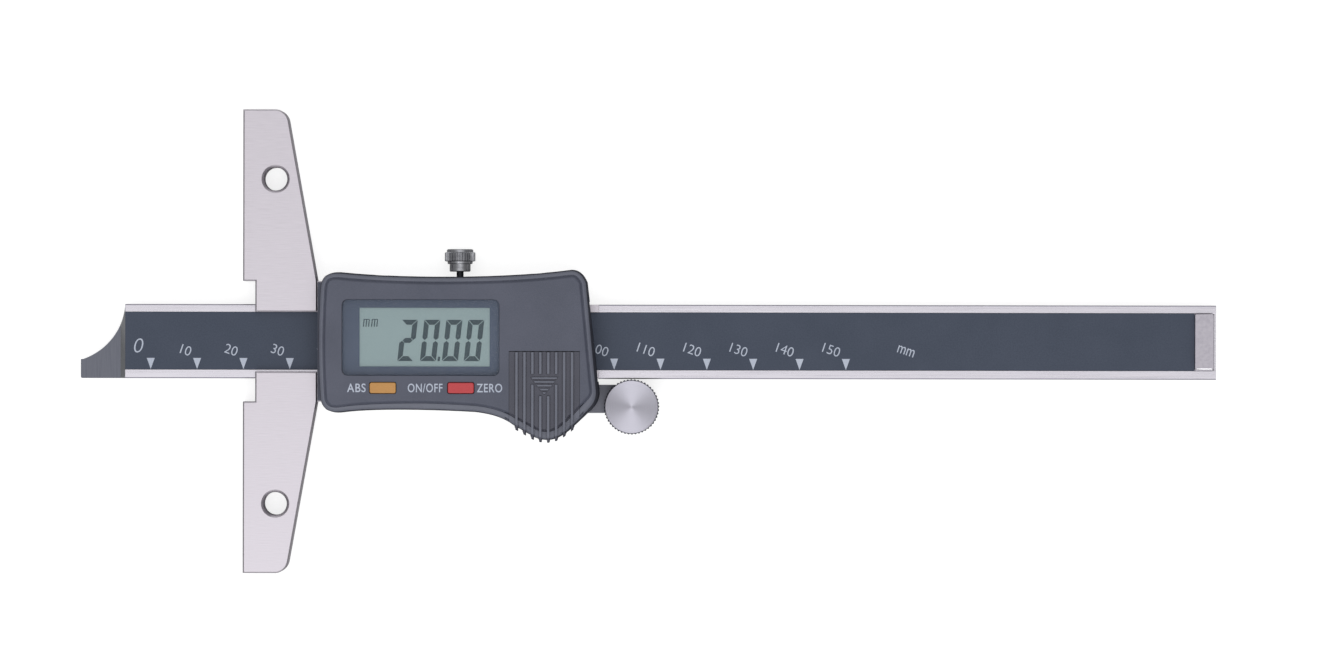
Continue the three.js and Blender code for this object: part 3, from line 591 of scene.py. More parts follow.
# %% The blank that both halves are cut from
def moulded_blank(name):
    blank = outline_ring(name, skirt_bottom)
    bpy.ops.mesh.edge_face_add()
    bpy.ops.mesh.normals_make_consistent(inside=False)
    mesh = bmesh.from_edit_mesh(blank.data)
    if mesh.faces[:][0].normal.z < 0:
        bpy.ops.mesh.flip_normals()
    bpy.ops.mesh.extrude_region_move()
    follow_profile([(0.25, shoulder_bottom - skirt_bottom)])
    nudge(blank, lean_ends_in)
    follow_profile(rounding(shoulder_round, 1.1, 6))
    nudge(blank, widen_shoulder)
    follow_profile([(0.12, -0.12), (0.1, 0.0), (0.3, 0.56), (0.12, 0.13), (0.1, 0.03)])
    leave()
    edit(blank)
    face_outward()
    leave()
    return blank


housing = moulded_blank("case_shell")
heights = [v.co.z / MM for v in housing.data.vertices]
print("blank from", round(min(heights), 2), "to", round(max(heights), 2), "mm high")

# %% [markdown]
# Cutting tools
# Openings are cut with boolean tools: a block, a rounded block and a rod. Each is a primitive set
# to its size, with its upright edges bevelled where the real corner is round, and it disappears
# once it has cut.


# %% Blocks and rods
def block(name, x, y, z, corner=0.0):
    low, high = at(x[0], y[0], z[0]), at(x[1], y[1], z[1])
    size = high - low
    bpy.ops.mesh.primitive_cube_add(size=1, location=(low + high) / 2, scale=size)
    piece = new_piece(name)
    settle(piece)
    if corner:
        edit(piece)
        tall = 0.9 * size.z
        select_only(piece, "EDGE", lambda e: abs(e.verts[0].co.z - e.verts[1].co.z) > tall)
        bpy.ops.mesh.bevel(offset=corner * MM, segments=5, affect="EDGES")
        leave()
    return piece


def rod(name, radius, x, y, z, axis="Z", sides=48):
    span = z if axis == "Z" else y
    middle = (span[0] + span[1]) / 2
    centre = at(x, y, middle) if axis == "Z" else at(x, middle, z)
    turn = (0, 0, 0) if axis == "Z" else (math.pi / 2, 0, 0)
    bpy.ops.mesh.primitive_cylinder_add(
        vertices=sides, radius=radius * MM, depth=(span[1] - span[0]) * MM,
        location=centre, rotation=turn,
    )
    piece = new_piece(name)
    settle(piece)
    return piece


# %% A thin plate from its corners
def thin_plate(name, corners, low, high):
    bpy.ops.mesh.primitive_circle_add(vertices=len(corners), radius=MM, fill_type="NGON")
    piece = new_piece(name)
    settle(piece)
    for vertex, (x, y) in zip(piece.data.vertices, corners):
        vertex.co = at(x, y, low)
    edit(piece)
    bpy.ops.mesh.select_all(action="SELECT")
    pull_up(high - low)
    face_outward()
    leave()
    return piece


# %% [markdown]
# Battery cover, first half
# The cover is cut from a copy of the same blank before the housing is opened, so the shoulder and
# the groove run across both without a step. A thin gap is left all round, as the cover slides out.

# %% The cover's own share of the form
over, below, outside = 18, 1, -40
tongue_reach, cover_top, cover_side = 0.7, -2.15, -18.05
cover_low, cover_high = box_mm("battery_cover")
cover_x = (cover_low.x + tongue_reach, cover_high.x - tongue_reach)
pick(housing)
bpy.ops.object.duplicate()
cover = new_piece("sliding_cover")
front = block("cover_front", cover_x, (outside, cover_top), (13.55, over))
combine(front, block("cover_lip", cover_x, (outside, cover_side), (7.55, over)), "UNION")
combine(cover, front, "INTERSECT")
tidy_mesh(cover)
print("cover faces:", len(cover.data.polygons))
combine(housing, block("apron", (16.15, 17.6), (-12.75, 12.75), (6.5, 8.6)), "UNION")

# %% [markdown]
# Opening the housing
# The housing is hollow where the slider frame, the circuit board, the lens and the battery go.
# The cuts here follow the pieces inside, with the same small clearances as the solids have.

# %% The inside wall
inside = outline_ring("inside_core", 1.0)
bpy.ops.mesh.edge_face_add()
bpy.ops.mesh.inset(thickness=1.2 * MM, use_boundary=True)
bpy.ops.mesh.select_all(action="INVERT")
bpy.ops.mesh.delete(type="FACE")
bpy.ops.mesh.select_all(action="SELECT")
pull_up(5.5)
face_outward()
leave()
combine(housing, inside)

# %% Frame, beam, electronics and display
room, cover_room = 0.15, 0.06
board_x, _ = spans_mm("main_board", room)
lcd_x, lcd_y = spans_mm("lcd_panel", room)
lcd_low, lcd_high = box_mm("lcd_panel")
window_low, window_high = box_mm("display_window")
seat_x = (window_low.x - 0.08, window_high.x - 0.02)
seat_y = (window_low.y - 0.2, window_high.y - 0.08)
for space in (
    ("frame_room", (14, 73.15), (-13.15, 13.15), (below, 6.5)),
    ("beam_way", (73, 80), (-8.6, 8.6), (below, 5.85)),
    ("board_room", board_x, (-11.75, 10.75), (5.4, 12.6)),
    ("window_seat", seat_x, seat_y, (window_low.z, over), 1.3),
    ("display_room", lcd_x, lcd_y, (lcd_low.z, 15)),
):
    combine(housing, block(*space))

# %% Keys and battery
key_y, key_half_x, key_half_y = -9.95, 2.8 + room, 1.135 + room
for node in ("abs_button", "zero_button"):
    x = middle_mm(node)[0]
    hole_x, hole_y = around(x, key_half_x), around(key_y, key_half_y)
    combine(housing, block("key_hole", hole_x, hole_y, (10, over), 0.5))
cell_x, cell_y, _ = middle_mm("battery_cell")
cover_seat_x = (cover_x[0] - cover_room, cover_x[1] + cover_room)
for space in (
    ("cover_seat", cover_seat_x, (outside, -2), (13.4, over)),
    ("lip_seat", cover_seat_x, (outside, -17.9), (7.4, over)),
    ("tongue_slot", spans_mm("battery_cover", room)[0], (outside, -3.05), (13.4, 14.3)),
):
    combine(housing, block(*space))
combine(housing, rod("battery_bay", 6.1, cell_x, cell_y, (7.4, 16)))
pocket_x = (box_mm("battery_contact_plus")[0].x - 0.3, cell_x)
combine(housing, block("contact_pocket", pocket_x, (-11.45, -8.15), (7.4, 16)))

# %% Screw holes and the notches for the side screws
for i in range(1, 5):
    x, y, _ = middle_mm(f"housing_screw_{i}")
    combine(housing, rod("pilot_hole", 0.95, x, y, (below, 11.05), sides=24))
side_radius, side_z = 1.35, 3.45
for node in ("gib_screw_left", "gib_screw_right", "lock_screw"):
    x = middle_mm(node)[0]
    notch_x = around(x, side_radius)
    combine(housing, block("side_notch", notch_x, (13, over), (below, side_z)))
    combine(housing, rod("side_hole", side_radius, x, (13, over), side_z, "Y", 32))
tidy_mesh(housing)
smooth(housing)
hand_over(housing, "frame", "housing_plastic", housing_plastic, "housing")


# %% Painted shade on the steep walls, wear on the rib crests, painted light on the shoulder
def wear(piece, crest):
    def rubbed(face):
        z, slope = face.center.z / MM, face.normal.z
        groove = (z > 14.3 and slope < 0.8) or (z < 14.3 and slope > 0.99)
        return z > crest or (shoulder_bottom < z < 14.42 and not groove)

    # Steep walls get the darker plastic as painted shade.
    repaint(piece, wall_shade_plastic, lambda face: abs(face.normal.z) < 0.42)
    # Rib crests get the paler plastic as wear, and the shoulder gets it as painted light.
    repaint(piece, worn_and_lit_plastic, lambda face: abs(face.normal.z) >= 0.42 and rubbed(face))


wear(housing, over)

# %% [markdown]
# Battery cover, second half
# A thumb pushes the cover off, so it has eight ribs, four of them broken by an arrow of short
# bars. Each rib stands in a shallow channel, runs over the shoulder and ends in a pointed tooth.
# Channels and ribs are cut by copies of the housing's own form, one a little smaller and one a
# little larger, so they follow its shape by themselves.


# %% A smaller or larger rounded form
def rounded_form(name, outset, top, radius, foot=7.6):
    form = outline_ring(name, foot)
    bpy.ops.mesh.extrude_edges_move(
        TRANSFORM_OT_translate={"value": (0, 0, (top - radius - foot) * MM)}
    )
    face_outward()
    bpy.ops.transform.shrink_fatten(value=outset * MM, use_even_offset=True)
    bpy.ops.mesh.select_mode(type="EDGE")
    bpy.ops.mesh.select_all(action="DESELECT")
    bpy.ops.mesh.select_non_manifold()
    bpy.ops.mesh.edge_face_add()
    leave()
    edit(form)
    top_z = 0.01
    select_only(
        form, "FACE",
        lambda f: abs(f.normal.z) > 0.9 and f.calc_center_median().z > top_z,
    )
    follow_profile(rounding(radius, radius, 6))
    face_outward()
    leave()
    return form


# %% Where the ribs run
rib_pitch, rib_count, rib_half, channel_half = 1.702, 8, 0.25, 0.475
first_rib = cell_x - (rib_count - 1) / 2 * rib_pitch
rib_places = [first_rib + i * rib_pitch for i in range(rib_count)]
rib_head, rib_foot, arrow_head, arrow_feet = -2.25, 7.7, -6.9, {2: -9.2, 3: -11.65}


def rib_spans():
    for i, x in enumerate(rib_places):
        from_end = min(i, rib_count - 1 - i)
        if from_end in arrow_feet:
            yield x, arrow_head, rib_head
            yield x, outside, arrow_feet[from_end]
        else:
            yield x, outside, rib_head


def joined(pieces):
    for piece in pieces[1:]:
        combine(pieces[0], piece, "UNION")
    return pieces[0]


def lower_edge(x):
    crossings = []
    for here, first, second, end in outline_knots():
        last = here
        for step in range(1, 41):
            t = step / 40
            point = here * (1 - t) ** 3 + first * 3 * t * (1 - t) ** 2
            point += second * 3 * t * t * (1 - t) + end * t**3
            if (last.x - x) * (point.x - x) < 0:
                crossings.append(last.lerp(point, (x - last.x) / (point.x - last.x)).y)
            last = point
    return min(crossings)


# %% The channels
channels = []
for x, low, high in rib_spans():
    width = around(x, channel_half)
    channels.append(block("channel", width, (low, high + 0.1), (rib_foot, over)))
channels = joined(channels)
combine(channels, rounded_form("channel_floor", -0.18, 14.88, 1.9))
combine(cover, channels)

# %% The ribs and their teeth
ribs = []
for x, low, high in rib_spans():
    width = around(x, rib_half)
    ribs.append(block("rib", width, (low, high), (13.7, over)))
    if low == outside:
        ribs.append(block("rib_foot", width, (outside, -18.1), (rib_foot, over)))
ribs = joined(ribs)
combine(ribs, rounded_form("rib_roof", 0.42, 15.33, 2.0), "INTERSECT")
tidy_mesh(ribs, 0.1)
bevel_edges(ribs, 0.17, 3, 45)
for x in rib_places:
    y = lower_edge(x)
    corners = [(x - 0.5, y + 0.4), (x - 0.09, y - 0.5), (x + 0.09, y - 0.5), (x + 0.5, y + 0.4)]
    tooth = thin_plate("tooth", corners, rib_foot, 12.9)
    bevel_edges(tooth, 0.1, 2, 60)
    combine(ribs, tooth, "UNION")
print("ribs reach y =", round(min(v.co.y for v in ribs.data.vertices) / MM, 2), "mm")
combine(cover, ribs, "UNION")

# %% The arrow of short bars
arrow_bars = [(-7.8, 5.45), (-8.6, 4.3), (-9.4, 3.2), (-10.25, 1.74), (-11.0, 0.6)]


def arrow_plate(name, y, width, half, slant, low, high):
    wide, narrow = width / 2 + slant, width / 2 - slant
    corners = [(-narrow, -half), (narrow, -half), (wide, half), (-wide, half)]
    return thin_plate(name, [(cell_x + a, y + b) for a, b in corners], low, high)


for y, width in arrow_bars:
    combine(cover, arrow_plate("bar_channel", y, width + 0.4, 0.36, 0.2, 14.9, over))
    bar = arrow_plate("arrow_bar", y, width, 0.19, 0.13, 14.7, 15.14)
    bevel_edges(bar, 0.08, 2)
    combine(cover, bar, "UNION")
tongue_x, tongue_y = (cover_low.x, cover_high.x), (-13.2, -3.2)
combine(cover, block("tongues", tongue_x, tongue_y, (13.55, 14.15)), "UNION")
tidy_mesh(cover)
smooth(cover, 40)
hand_over(cover, "cover", "housing_plastic", cover_plastic, "battery_cover")
wear(cover, 15.05)

# %% [markdown]
# Finer copies of the solids
# The steel base and beam and the plastic roller arm already have the right shape.
# A CAD mesh is a heap of loose flat triangles, though, and light breaks on it. So a copy is
# merged, its needless edges are dissolved, a hair of bevel is put on what is still sharp, and its
# round corners are shaded smooth.


# %% A finer copy of a solid
def finer_copy(node, name, body, slot, material, bevel):
    piece = copy_of(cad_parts[node], name)
    tidy_mesh(piece)
    bevel_edges(piece, bevel, 2, 40)
    smooth(piece, 30)
    hand_over(piece, body, slot, material, node)
    return piece


finer_copy("base_slider", "cross_base", "frame", "base_steel", base_steel, 0.05)
beam = finer_copy("beam", "slide_beam", "beam", "beam_steel", rail_steel, 0.16)
# The roller arm's paler plastic is painted light.
finer_copy("roller_bracket", "roller_arm", "frame", "bracket_plastic", bracket_plastic, 0.12)

# %% The frame shows its two steel ends over the rails, just outside the housing
for name, y in (("frame_end_upper", (6.35, 8.0)), ("frame_end_lower", (-8.0, -6.35))):
    frame_end = block(name, (72.9, 76.72), y, (5.3, 5.84))
    bevel_edges(frame_end, 0.06)
    hand_over(frame_end, "frame", "base_steel", base_steel)

# %% The end of the channel is open behind the end stop, down to a slit
stop_low, stop_high = box_mm("end_stop")
beam_end = box_mm("beam")[1].x
stop_y, behind_stop, slit_floor = (stop_low.y, stop_high.y), stop_high.x - 0.2, 2.6
channel_end = block("channel_end", (behind_stop, beam_end + 1), stop_y, (stop_low.z, 8))
combine(beam, channel_end)
combine(beam, block("stop_slit", (behind_stop, stop_high.x + 0.22), stop_y, (slit_floor, 8)))

# %% The end stop, with a wider bevel along its lower edge and a painted highlight on it
stop = block(
    "beam_end_stop", (stop_low.x - 0.1, stop_high.x), (stop_low.y + 0.05, stop_high.y - 0.05),
    (stop_low.z, stop_high.z), 0.35,
)
for i in (1, 2):
    x, y, _ = middle_mm(f"end_stop_screw_{i}")
    bore_top = box_mm(f"end_stop_screw_{i}")[1].z + 0.1
    combine(stop, rod("screw_bore", 0.65, x, y, (stop_low.z - 1, bore_top), sides=24))
edit(stop)


def lower_rim(edge):
    middle = (edge.verts[0].co + edge.verts[1].co) / 2 / MM
    return middle.z > stop_high.z - 0.01 and middle.y < stop_low.y + 0.06


select_only(stop, "EDGE", lower_rim)
bpy.ops.mesh.bevel(offset=0.38 * MM, segments=2, affect="EDGES")
leave()
bevel_edges(stop, 0.07, 2, 40)
smooth(stop, 30)
hand_over(stop, "beam", "stop_steel", stop_steel, "end_stop")
# Bevel faces leaning toward -Y and up get near-white steel as a painted highlight.
repaint(stop, stop_highlight_steel, lambda face: face.normal.y < -0.3 and face.normal.z > 0.3)

# %% The beam's own dark tip and milled ramp, and painted shade on its rail ends, slit and long edges
RAIL, DARK_TIP_AND_SHADE, EDGE, MILLED = 0, 1, 2, 3
for material in (tip_and_shade_steel, edge_shade_steel, milled_steel):
    beam.data.materials.append(material)
body_start = -25.5
rail_half = max(v.co.y for v in beam.data.vertices) / MM


def beam_finish(face):
    x, y, z = (face.center.x - face_x) / MM, abs(face.center.y) / MM, face.center.z / MM
    if x < body_start - 0.02:
        sloping = abs(face.normal.x) > 0.2 and face.normal.z > 0.1
        return MILLED if sloping else DARK_TIP_AND_SHADE
    # The cut ends of the rails and the slit's walls and floor get the dark steel as painted shade.
    in_slit = x > stop_high.x - 0.25 and z < stop_low.z - 0.05
    slit_wall = y < stop_high.y + 0.05 and abs(face.normal.z) < 0.99
    if x < body_start + 0.25 or in_slit and (slit_wall or abs(z - slit_floor) < 0.01):
        return DARK_TIP_AND_SHADE
    # The outer long edges of the rails get the darker steel as painted shade.
    return EDGE if y > rail_half - 0.25 else RAIL


for face in beam.data.polygons:
    face.material_index = beam_finish(face)
finishes = [face.material_index for face in beam.data.polygons]
print("beam faces of each finish:", [finishes.count(i) for i in range(4)])

# %% [markdown]
# Keys
# The two keys are moulded in colour and stand a third of a millimetre above the panel. Their
# edges are rounder than a solid with a small bevel shows, so their copies get a wider one.

# %% The orange and the red key
finer_copy("abs_button", "abs_key_cap", "abs_key", "orange_plastic", orange_plastic, 0.1)
finer_copy("zero_button", "zero_key_cap", "zero_key", "red_plastic", red_plastic, 0.1)

# %% [markdown]
# Turned pieces
# Screws, the pin, the roller and the lock screw come off a lathe, and the battery is as round.
# Each is grown from a disc: its face is extruded a step and scaled to the next diameter, again
# and again, which is how a turner reads a drawing too. A knurl is a disc with a toothed outline.


# %% Growing a turned piece
def turned_piece(name, profile, sides=48, teeth=0, tooth_share=0.96):
    radius, height = profile[0]
    bpy.ops.mesh.primitive_circle_add(
        vertices=sides, radius=radius * MM, fill_type="NGON", location=(0, 0, height * MM)
    )
    piece = new_piece(name)
    settle(piece)
    edit(piece)
    if teeth:
        per_tooth = sides // teeth
        select_only(piece, "VERT", lambda v: v.index % per_tooth >= per_tooth / 2)
        scale_flat(tooth_share)
        bpy.ops.mesh.select_mode(type="FACE")
    bpy.ops.mesh.select_all(action="SELECT")
    for next_radius, next_height in profile[1:]:
        pull_up(next_height - height)
        scale_flat(next_radius / radius)
        radius, height = next_radius, next_height
    face_outward()
    leave()
    return piece


def stand(piece, x, y, z, turn=(0, 0, 0)):
    piece.rotation_euler = turn
    piece.location = at(x, y, z)
    settle(piece)


# %% A slot or one arm of a cross, cut into the end of a turned piece
def slot_across(piece, reach, width, depth):
    size = (2 * reach * MM, width * MM, 2 * depth * MM)
    bpy.ops.mesh.primitive_cube_add(size=1, location=(0, 0, 0), scale=size)
    tool = new_piece("slot_tool")
    settle(tool)
    combine(piece, tool)


# %% [markdown]
# Thumb roller
# The roller has a smooth turned disc between two small chamfers, and round it a ring of knurled
# teeth that grips the thumb and rubs on the beam. The disc and the ring are made apart and then
# welded, so that the flat face stays perfectly round.

# %% The roller
roller_x, roller_y, _ = middle_mm("thumb_roller")
disc = turned_piece(
    "roller_disc",
    [(5.66, 0), (5.74, 0.08), (5.74, 4.12), (5.66, 4.2), (5.54, 4.2), (5.5, 4.17), (0.3, 4.17)],
    128,
)
ring_profile = [(5.72, 0.1), (5.97, 0.25), (5.97, 3.95), (5.72, 4.1)]
combine(disc, turned_piece("roller_ring", ring_profile, 192, 48, 0.965), "UNION")
combine(disc, turned_piece("roller_bore", [(1.35, -1), (1.35, 3.3), (0.2, 3.6)], 32))
disc.name = "knurled_roller"
stand(disc, roller_x, roller_y, box_mm("thumb_roller")[0].z)
smooth(disc, 28)
hand_over(disc, "roller", "roller_steel", roller_steel, "thumb_roller")
axis, smooth_radius = at(roller_x, roller_y).to_2d(), 5.68 * MM
# The faces of the knurled ring get the dark steel as painted shade.
repaint(disc, knurl_shade_steel, lambda face: (face.center.to_2d() - axis).length > smooth_radius)

# %% [markdown]
# Lock screw
# The lock screw clamps the beam. Seen from above it lies on its side: a thin neck, a hub, a gap
# and a knurled head with a rounded cap. It is grown standing up and then laid along Y.

# %% The lock screw
stem = turned_piece(
    "lock_stem",
    [(0.9, 9.5), (1.1, 9.7), (1.1, 12.85), (0.76, 12.85), (0.76, 15.1), (2.1, 15.1),
     (2.25, 15.25), (2.25, 16.72), (2.6, 16.75), (2.7, 16.85), (2.72, 17.5)],
    64,
)
head_profile = [(3.05, 17.3), (3.3, 17.45), (3.3, 19.15), (3.05, 19.3)]
head = turned_piece("lock_head", head_profile, 128, 32, 0.92)
cap_profile = [(2.85, 19.0), (2.85, 19.7), (2.75, 19.86), (2.55, 19.95), (0.4, 19.95)]
cap = turned_piece("lock_cap", cap_profile, 64)
combine(head, stem, "UNION")
combine(head, cap, "UNION")
head.name = "lock_thumb_screw"
lock_x, _, lock_z = middle_mm("lock_screw")
stand(head, lock_x, 0, lock_z, (-math.pi / 2, 0, 0))
smooth(head, 28)
hand_over(head, "lock", "dark_chrome", dark_chrome, "lock_screw")
neck_end = 15.05 * MM
repaint(head, blackened, lambda face: face.center.y < neck_end)

# %% [markdown]
# Screws with a cross recess
# The small screws sit head down in the back of the tool, and the two of the circuit board head
# up. One is modelled for each kind, with a domed edge and a cross cut into it, and the screws of
# the gauge are copies of it with meshes of their own.


# %% One screw
def cross_screw(name, head_radius, head_height, shank_radius, length):
    screw = turned_piece(
        name,
        [
            (head_radius * 0.86, 0), (head_radius * 0.96, head_height * 0.12),
            (head_radius, head_height * 0.3), (head_radius, head_height),
            (shank_radius, head_height), (shank_radius, length - shank_radius / 2),
            (shank_radius / 2, length),
        ],
        40,
    )
    arm, wide, deep = head_radius * 0.62, head_radius * 0.13, head_height * 0.6
    slot_across(screw, arm, 2 * wide, deep)
    slot_across(screw, wide, 2 * arm, deep)
    smooth(screw, 30)
    return screw


def copy_screw(pattern, name, node, body, upside_down=False):
    copy = copy_of(pattern, name)
    x, y, _ = middle_mm(node)
    z = box_mm(node)[upside_down].z
    stand(copy, x, y, z, (math.pi * upside_down, 0, 0))
    hand_over(copy, body, "screw_steel", screw_steel, node)


# %% All the cross screws
housing_screw = cross_screw("screw_pattern", 1.5, 0.9, 0.8, 10.75)
for i in range(1, 5):
    copy_screw(housing_screw, f"case_screw_{i}", f"housing_screw_{i}", "frame")
stop_screw, arm_screw, board_screw = [
    cross_screw("screw_pattern", 1.1, 0.5, 0.6, height_mm(node))
    for node in ("end_stop_screw_1", "bracket_screw_1", "board_screw_left")
]
for i in (1, 2):
    copy_screw(stop_screw, f"stop_screw_{i}", f"end_stop_screw_{i}", "beam")
    copy_screw(arm_screw, f"arm_screw_{i}", f"bracket_screw_{i}", "frame")
for side in ("left", "right"):
    copy_screw(board_screw, f"pcb_screw_{side}", f"board_screw_{side}", "frame", True)
for pattern in (housing_screw, stop_screw, arm_screw, board_screw):
    bpy.data.objects.remove(pattern)

# %% [markdown]
# Pin, set screws and battery
# The roller's pin and the two set screws of the gib have a plain slot for a watchmaker's driver.
# The battery is a button cell: a can with a smaller, stepped cap under it.


# %% Slotted pieces
def seat(piece, place, turn=(0, 0, 0)):
    stand(piece, *place, turn)
    smooth(piece, 30)


pin_length = height_mm("roller_axle")
pin_profile = [
    (2.0, 0), (2.2, 0.18), (2.2, 0.8), (1.2, 0.8), (1.2, pin_length - 0.2), (1.0, pin_length),
]
pin = turned_piece("roller_pin", pin_profile)
slot_across(pin, 3, 0.5, 0.35)
seat(pin, (roller_x, roller_y, box_mm("roller_axle")[0].z))
hand_over(pin, "frame", "screw_steel", screw_steel, "roller_axle")
for side in ("left", "right"):
    node = f"gib_screw_{side}"
    set_screw = turned_piece(f"set_screw_{side}", [(0.85, 0), (1.0, 0.15), (1.0, 2.6), (0.7, 2.8)])
    slot_across(set_screw, 2, 0.3, 0.6)
    x, _, z = middle_mm(node)
    seat(set_screw, (x, box_mm(node)[1].y, z), (math.pi / 2, 0, 0))
    hand_over(set_screw, "frame", "screw_steel", screw_steel, node)

# %% The button cell
cell = turned_piece(
    "button_cell",
    [(4.6, 0), (4.85, 0.08), (4.9, 0.2), (4.9, 0.7), (5.6, 0.7), (5.75, 0.78), (5.8, 0.95),
     (5.8, 5.1), (5.72, 5.3), (5.55, 5.4), (0.5, 5.4)],
    72,
)
seat(cell, (cell_x, cell_y, box_mm("battery_cell")[0].z))
hand_over(cell, "frame", "nickel", nickel, "battery_cell")

# %% [markdown]
# Lens, border and display
# The lens is a clear plate with a polished edge. Under it lies its dark printed border, a thin
# frame that hides the rim of the display. The display itself keeps its solid, and its digits are
# thin plates just above the glass.

# %% The lens
lens_room, lens_corner = 0.08, 1.2
wide_x = (seat_x[0] + lens_room, seat_x[1] - lens_room)
wide_y = (seat_y[0] + lens_room, seat_y[1] - lens_room)
lens_z = (window_low.z + 0.06, window_high.z)
lens = block("lens_plate", wide_x, wide_y, lens_z, lens_corner)
bevel_edges(lens, 0.12, 2, 60)
smooth(lens, 30)
hand_over(lens, "frame", "window_clear", window_clear, "display_window")

# %% Its printed border
view_x, view_y = (25.4, 53.35), (-5.37, 7.24)
border_z = (window_low.z, window_low.z + 0.05)
border = block("lens_border", wide_x, wide_y, border_z, lens_corner)
combine(border, block("border_hole", view_x, view_y, (window_low.z - 1, window_low.z + 1)))
hand_over(border, "frame", "window_clear", border_ink)

# %% The display and the other flat pieces keep their solids
for node, material in (
    ("lcd_panel", lcd_glass), ("main_board", circuit_board), ("contact_mat", grey_rubber),
    ("lcd_contact_strip_upper", grey_rubber), ("lcd_contact_strip_lower", grey_rubber),
    ("scale_board", circuit_board), ("scale_strip", scale_film), ("gib_strip", brass),
    ("battery_contact_minus", nickel), ("battery_contact_plus", nickel),
):
    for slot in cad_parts[node].material_slots:
        slot.material = material
    print(node, "keeps its solid in", material.name)

# %% [markdown]
# Seven-segment digits
# A display digit is seven bars with mitred ends. Three outlines are enough, of a flat bar, an
# upright and the middle bar, and the rest are these turned over. Each bar is a disc with its
# corners moved to the outline's and a little thickness. The number leans right like handwriting.


# %% Many pieces as one
def join_all(pieces, name):
    pick(pieces[0])
    for piece in pieces:
        piece.select_set(True)
    bpy.ops.object.join()
    return new_piece(name)


# %% The bars of one digit: its width, height, bar width and gap
digit_z = (lcd_high.z + 0.005, lcd_high.z + 0.03)


def digit_bar(which, w=3.45, h=8.87, t=1.07, g=0.1):
    middle = h / 2
    flat = [(g, h), (w - g, h), (w - t - g, h - t), (t + g, h - t)]
    upright = [
        (0, h - g), (0, middle + t / 2), (t / 2, middle + g), (t, middle + t / 2),
        (t, h - t - g),
    ]
    if which == "top":
        return flat
    if which == "bottom":
        return [(x, h - y) for x, y in flat]
    if which == "middle":
        return [
            (t / 2 + g, middle), (t + g, middle + t / 2), (w - t - g, middle + t / 2),
            (w - t / 2 - g, middle), (w - t - g, middle - t / 2), (t + g, middle - t / 2),
        ]
    if "right" in which:
        upright = [(w - x, y) for x, y in upright]
    if "lower" in which:
        upright = [(x, h - y) for x, y in upright]
    return upright


digit_bars = {
    "0": ("top", "bottom", "upper left", "upper right", "lower left", "lower right"),
    "2": ("top", "bottom", "middle", "upper right", "lower left"),
}

# %% The number on the display
digit_foot = -4.2
lean = math.tan(math.radians(6.2))


def leaning(corners, x, foot):
    return [(x + a + b * lean, foot + b) for a, b in corners]


bars = []
for digit, x in (("2", 33.5), ("0", 38.35), ("0", 43.07), ("0", 47.77)):
    for which in digit_bars[digit]:
        bars.append(thin_plate("digit_bar", leaning(digit_bar(which), x, digit_foot), *digit_z))
point = [(-0.25, 0), (0.25, 0), (0.25, 0.95), (-0.25, 0.95)]
bars.append(thin_plate("digit_point", leaning(point, 42.38, digit_foot), *digit_z))
number = join_all(bars, "display_digits")
hand_over(number, "frame", "lcd_glass", digit_ink)

# %% The unit, of three legs and a bar for each letter
leg_wide, leg_pitch, leg_height, unit_height, unit_foot = 0.23, 0.56, 1.49, 1.66, 3.17
bar_length = 2 * leg_pitch + leg_wide
parts = [("unit_bar", [(0, leg_height), (bar_length, leg_height),
                       (bar_length - 0.16, unit_height), (0, unit_height)])]
for i in range(3):
    left, right = i * leg_pitch, i * leg_pitch + leg_wide
    parts.append(("unit_leg", [(left, 0), (right, 0), (right, leg_height), (left, leg_height)]))
legs = [
    thin_plate(name, leaning(corners, x, unit_foot), *digit_z)
    for x in (26.1, 27.86) for name, corners in parts
]
hand_over(join_all(legs, "display_unit"), "frame", "lcd_glass", digit_ink)

# %% [markdown]
# Printed words and numbers
# Print has no depth worth modelling, yet a texture picture isn't needed either: a text object in
# Blender's own typeface is made a mesh, scaled to the measured height and width, turned, and laid
# a hair above its surface.


# %% Text as thin ink
def ink_text(name, words, height, width=None, weight=0.0, apart=1.0):
    bpy.ops.object.text_add(location=(0, 0, 0))
    text = bpy.context.object
    text.data.body = words
    text.data.size = 0.01
    text.data.offset = weight
    text.data.space_character = apart
    text.data.extrude = 0.00001
    text.data.resolution_u = 6
    pick(text)
    bpy.ops.object.convert(target="MESH")
    piece = new_piece(name)
    xs = [v.co.x for v in piece.data.vertices]
    ys = [v.co.y for v in piece.data.vertices]
    up = height * MM / (max(ys) - min(ys))
    across = width * MM / (max(xs) - min(xs)) if width else up
    for vertex in piece.data.vertices:
        vertex.co.x = (vertex.co.x - (max(xs) + min(xs)) / 2) * across
        vertex.co.y = (vertex.co.y - (max(ys) + min(ys)) / 2) * up
    return piece


def lay_text(piece, x, y, z, turn=0.0, slope=0.0):
    for vertex in piece.data.vertices:
        vertex.co.x += vertex.co.y * slope
    stand(piece, x, y, z, (0, 0, math.radians(turn)))


# %% The names beside the keys
label_z = 15.012
for name, words, x, width in (
    ("label_abs", "ABS", 24.8, 4.0), ("label_on_off", "ON/OFF", 39.55, 7.45),
    ("label_zero", "ZERO", 53.35, 5.45),
):
    label = ink_text(name, words, 1.87, width, 0.0001, 1.1)
    lay_text(label, x, key_y, label_z)
    hand_over(label, "frame", "housing_plastic", pale_ink)

# %% [markdown]
# Scale marks
# The film between the rails has a triangle every ten millimetres that points at the lower rail,
# and its number stands to the upper left, turned to be read along the beam. The marks under the
# housing are made too, because they come out when the beam slides.

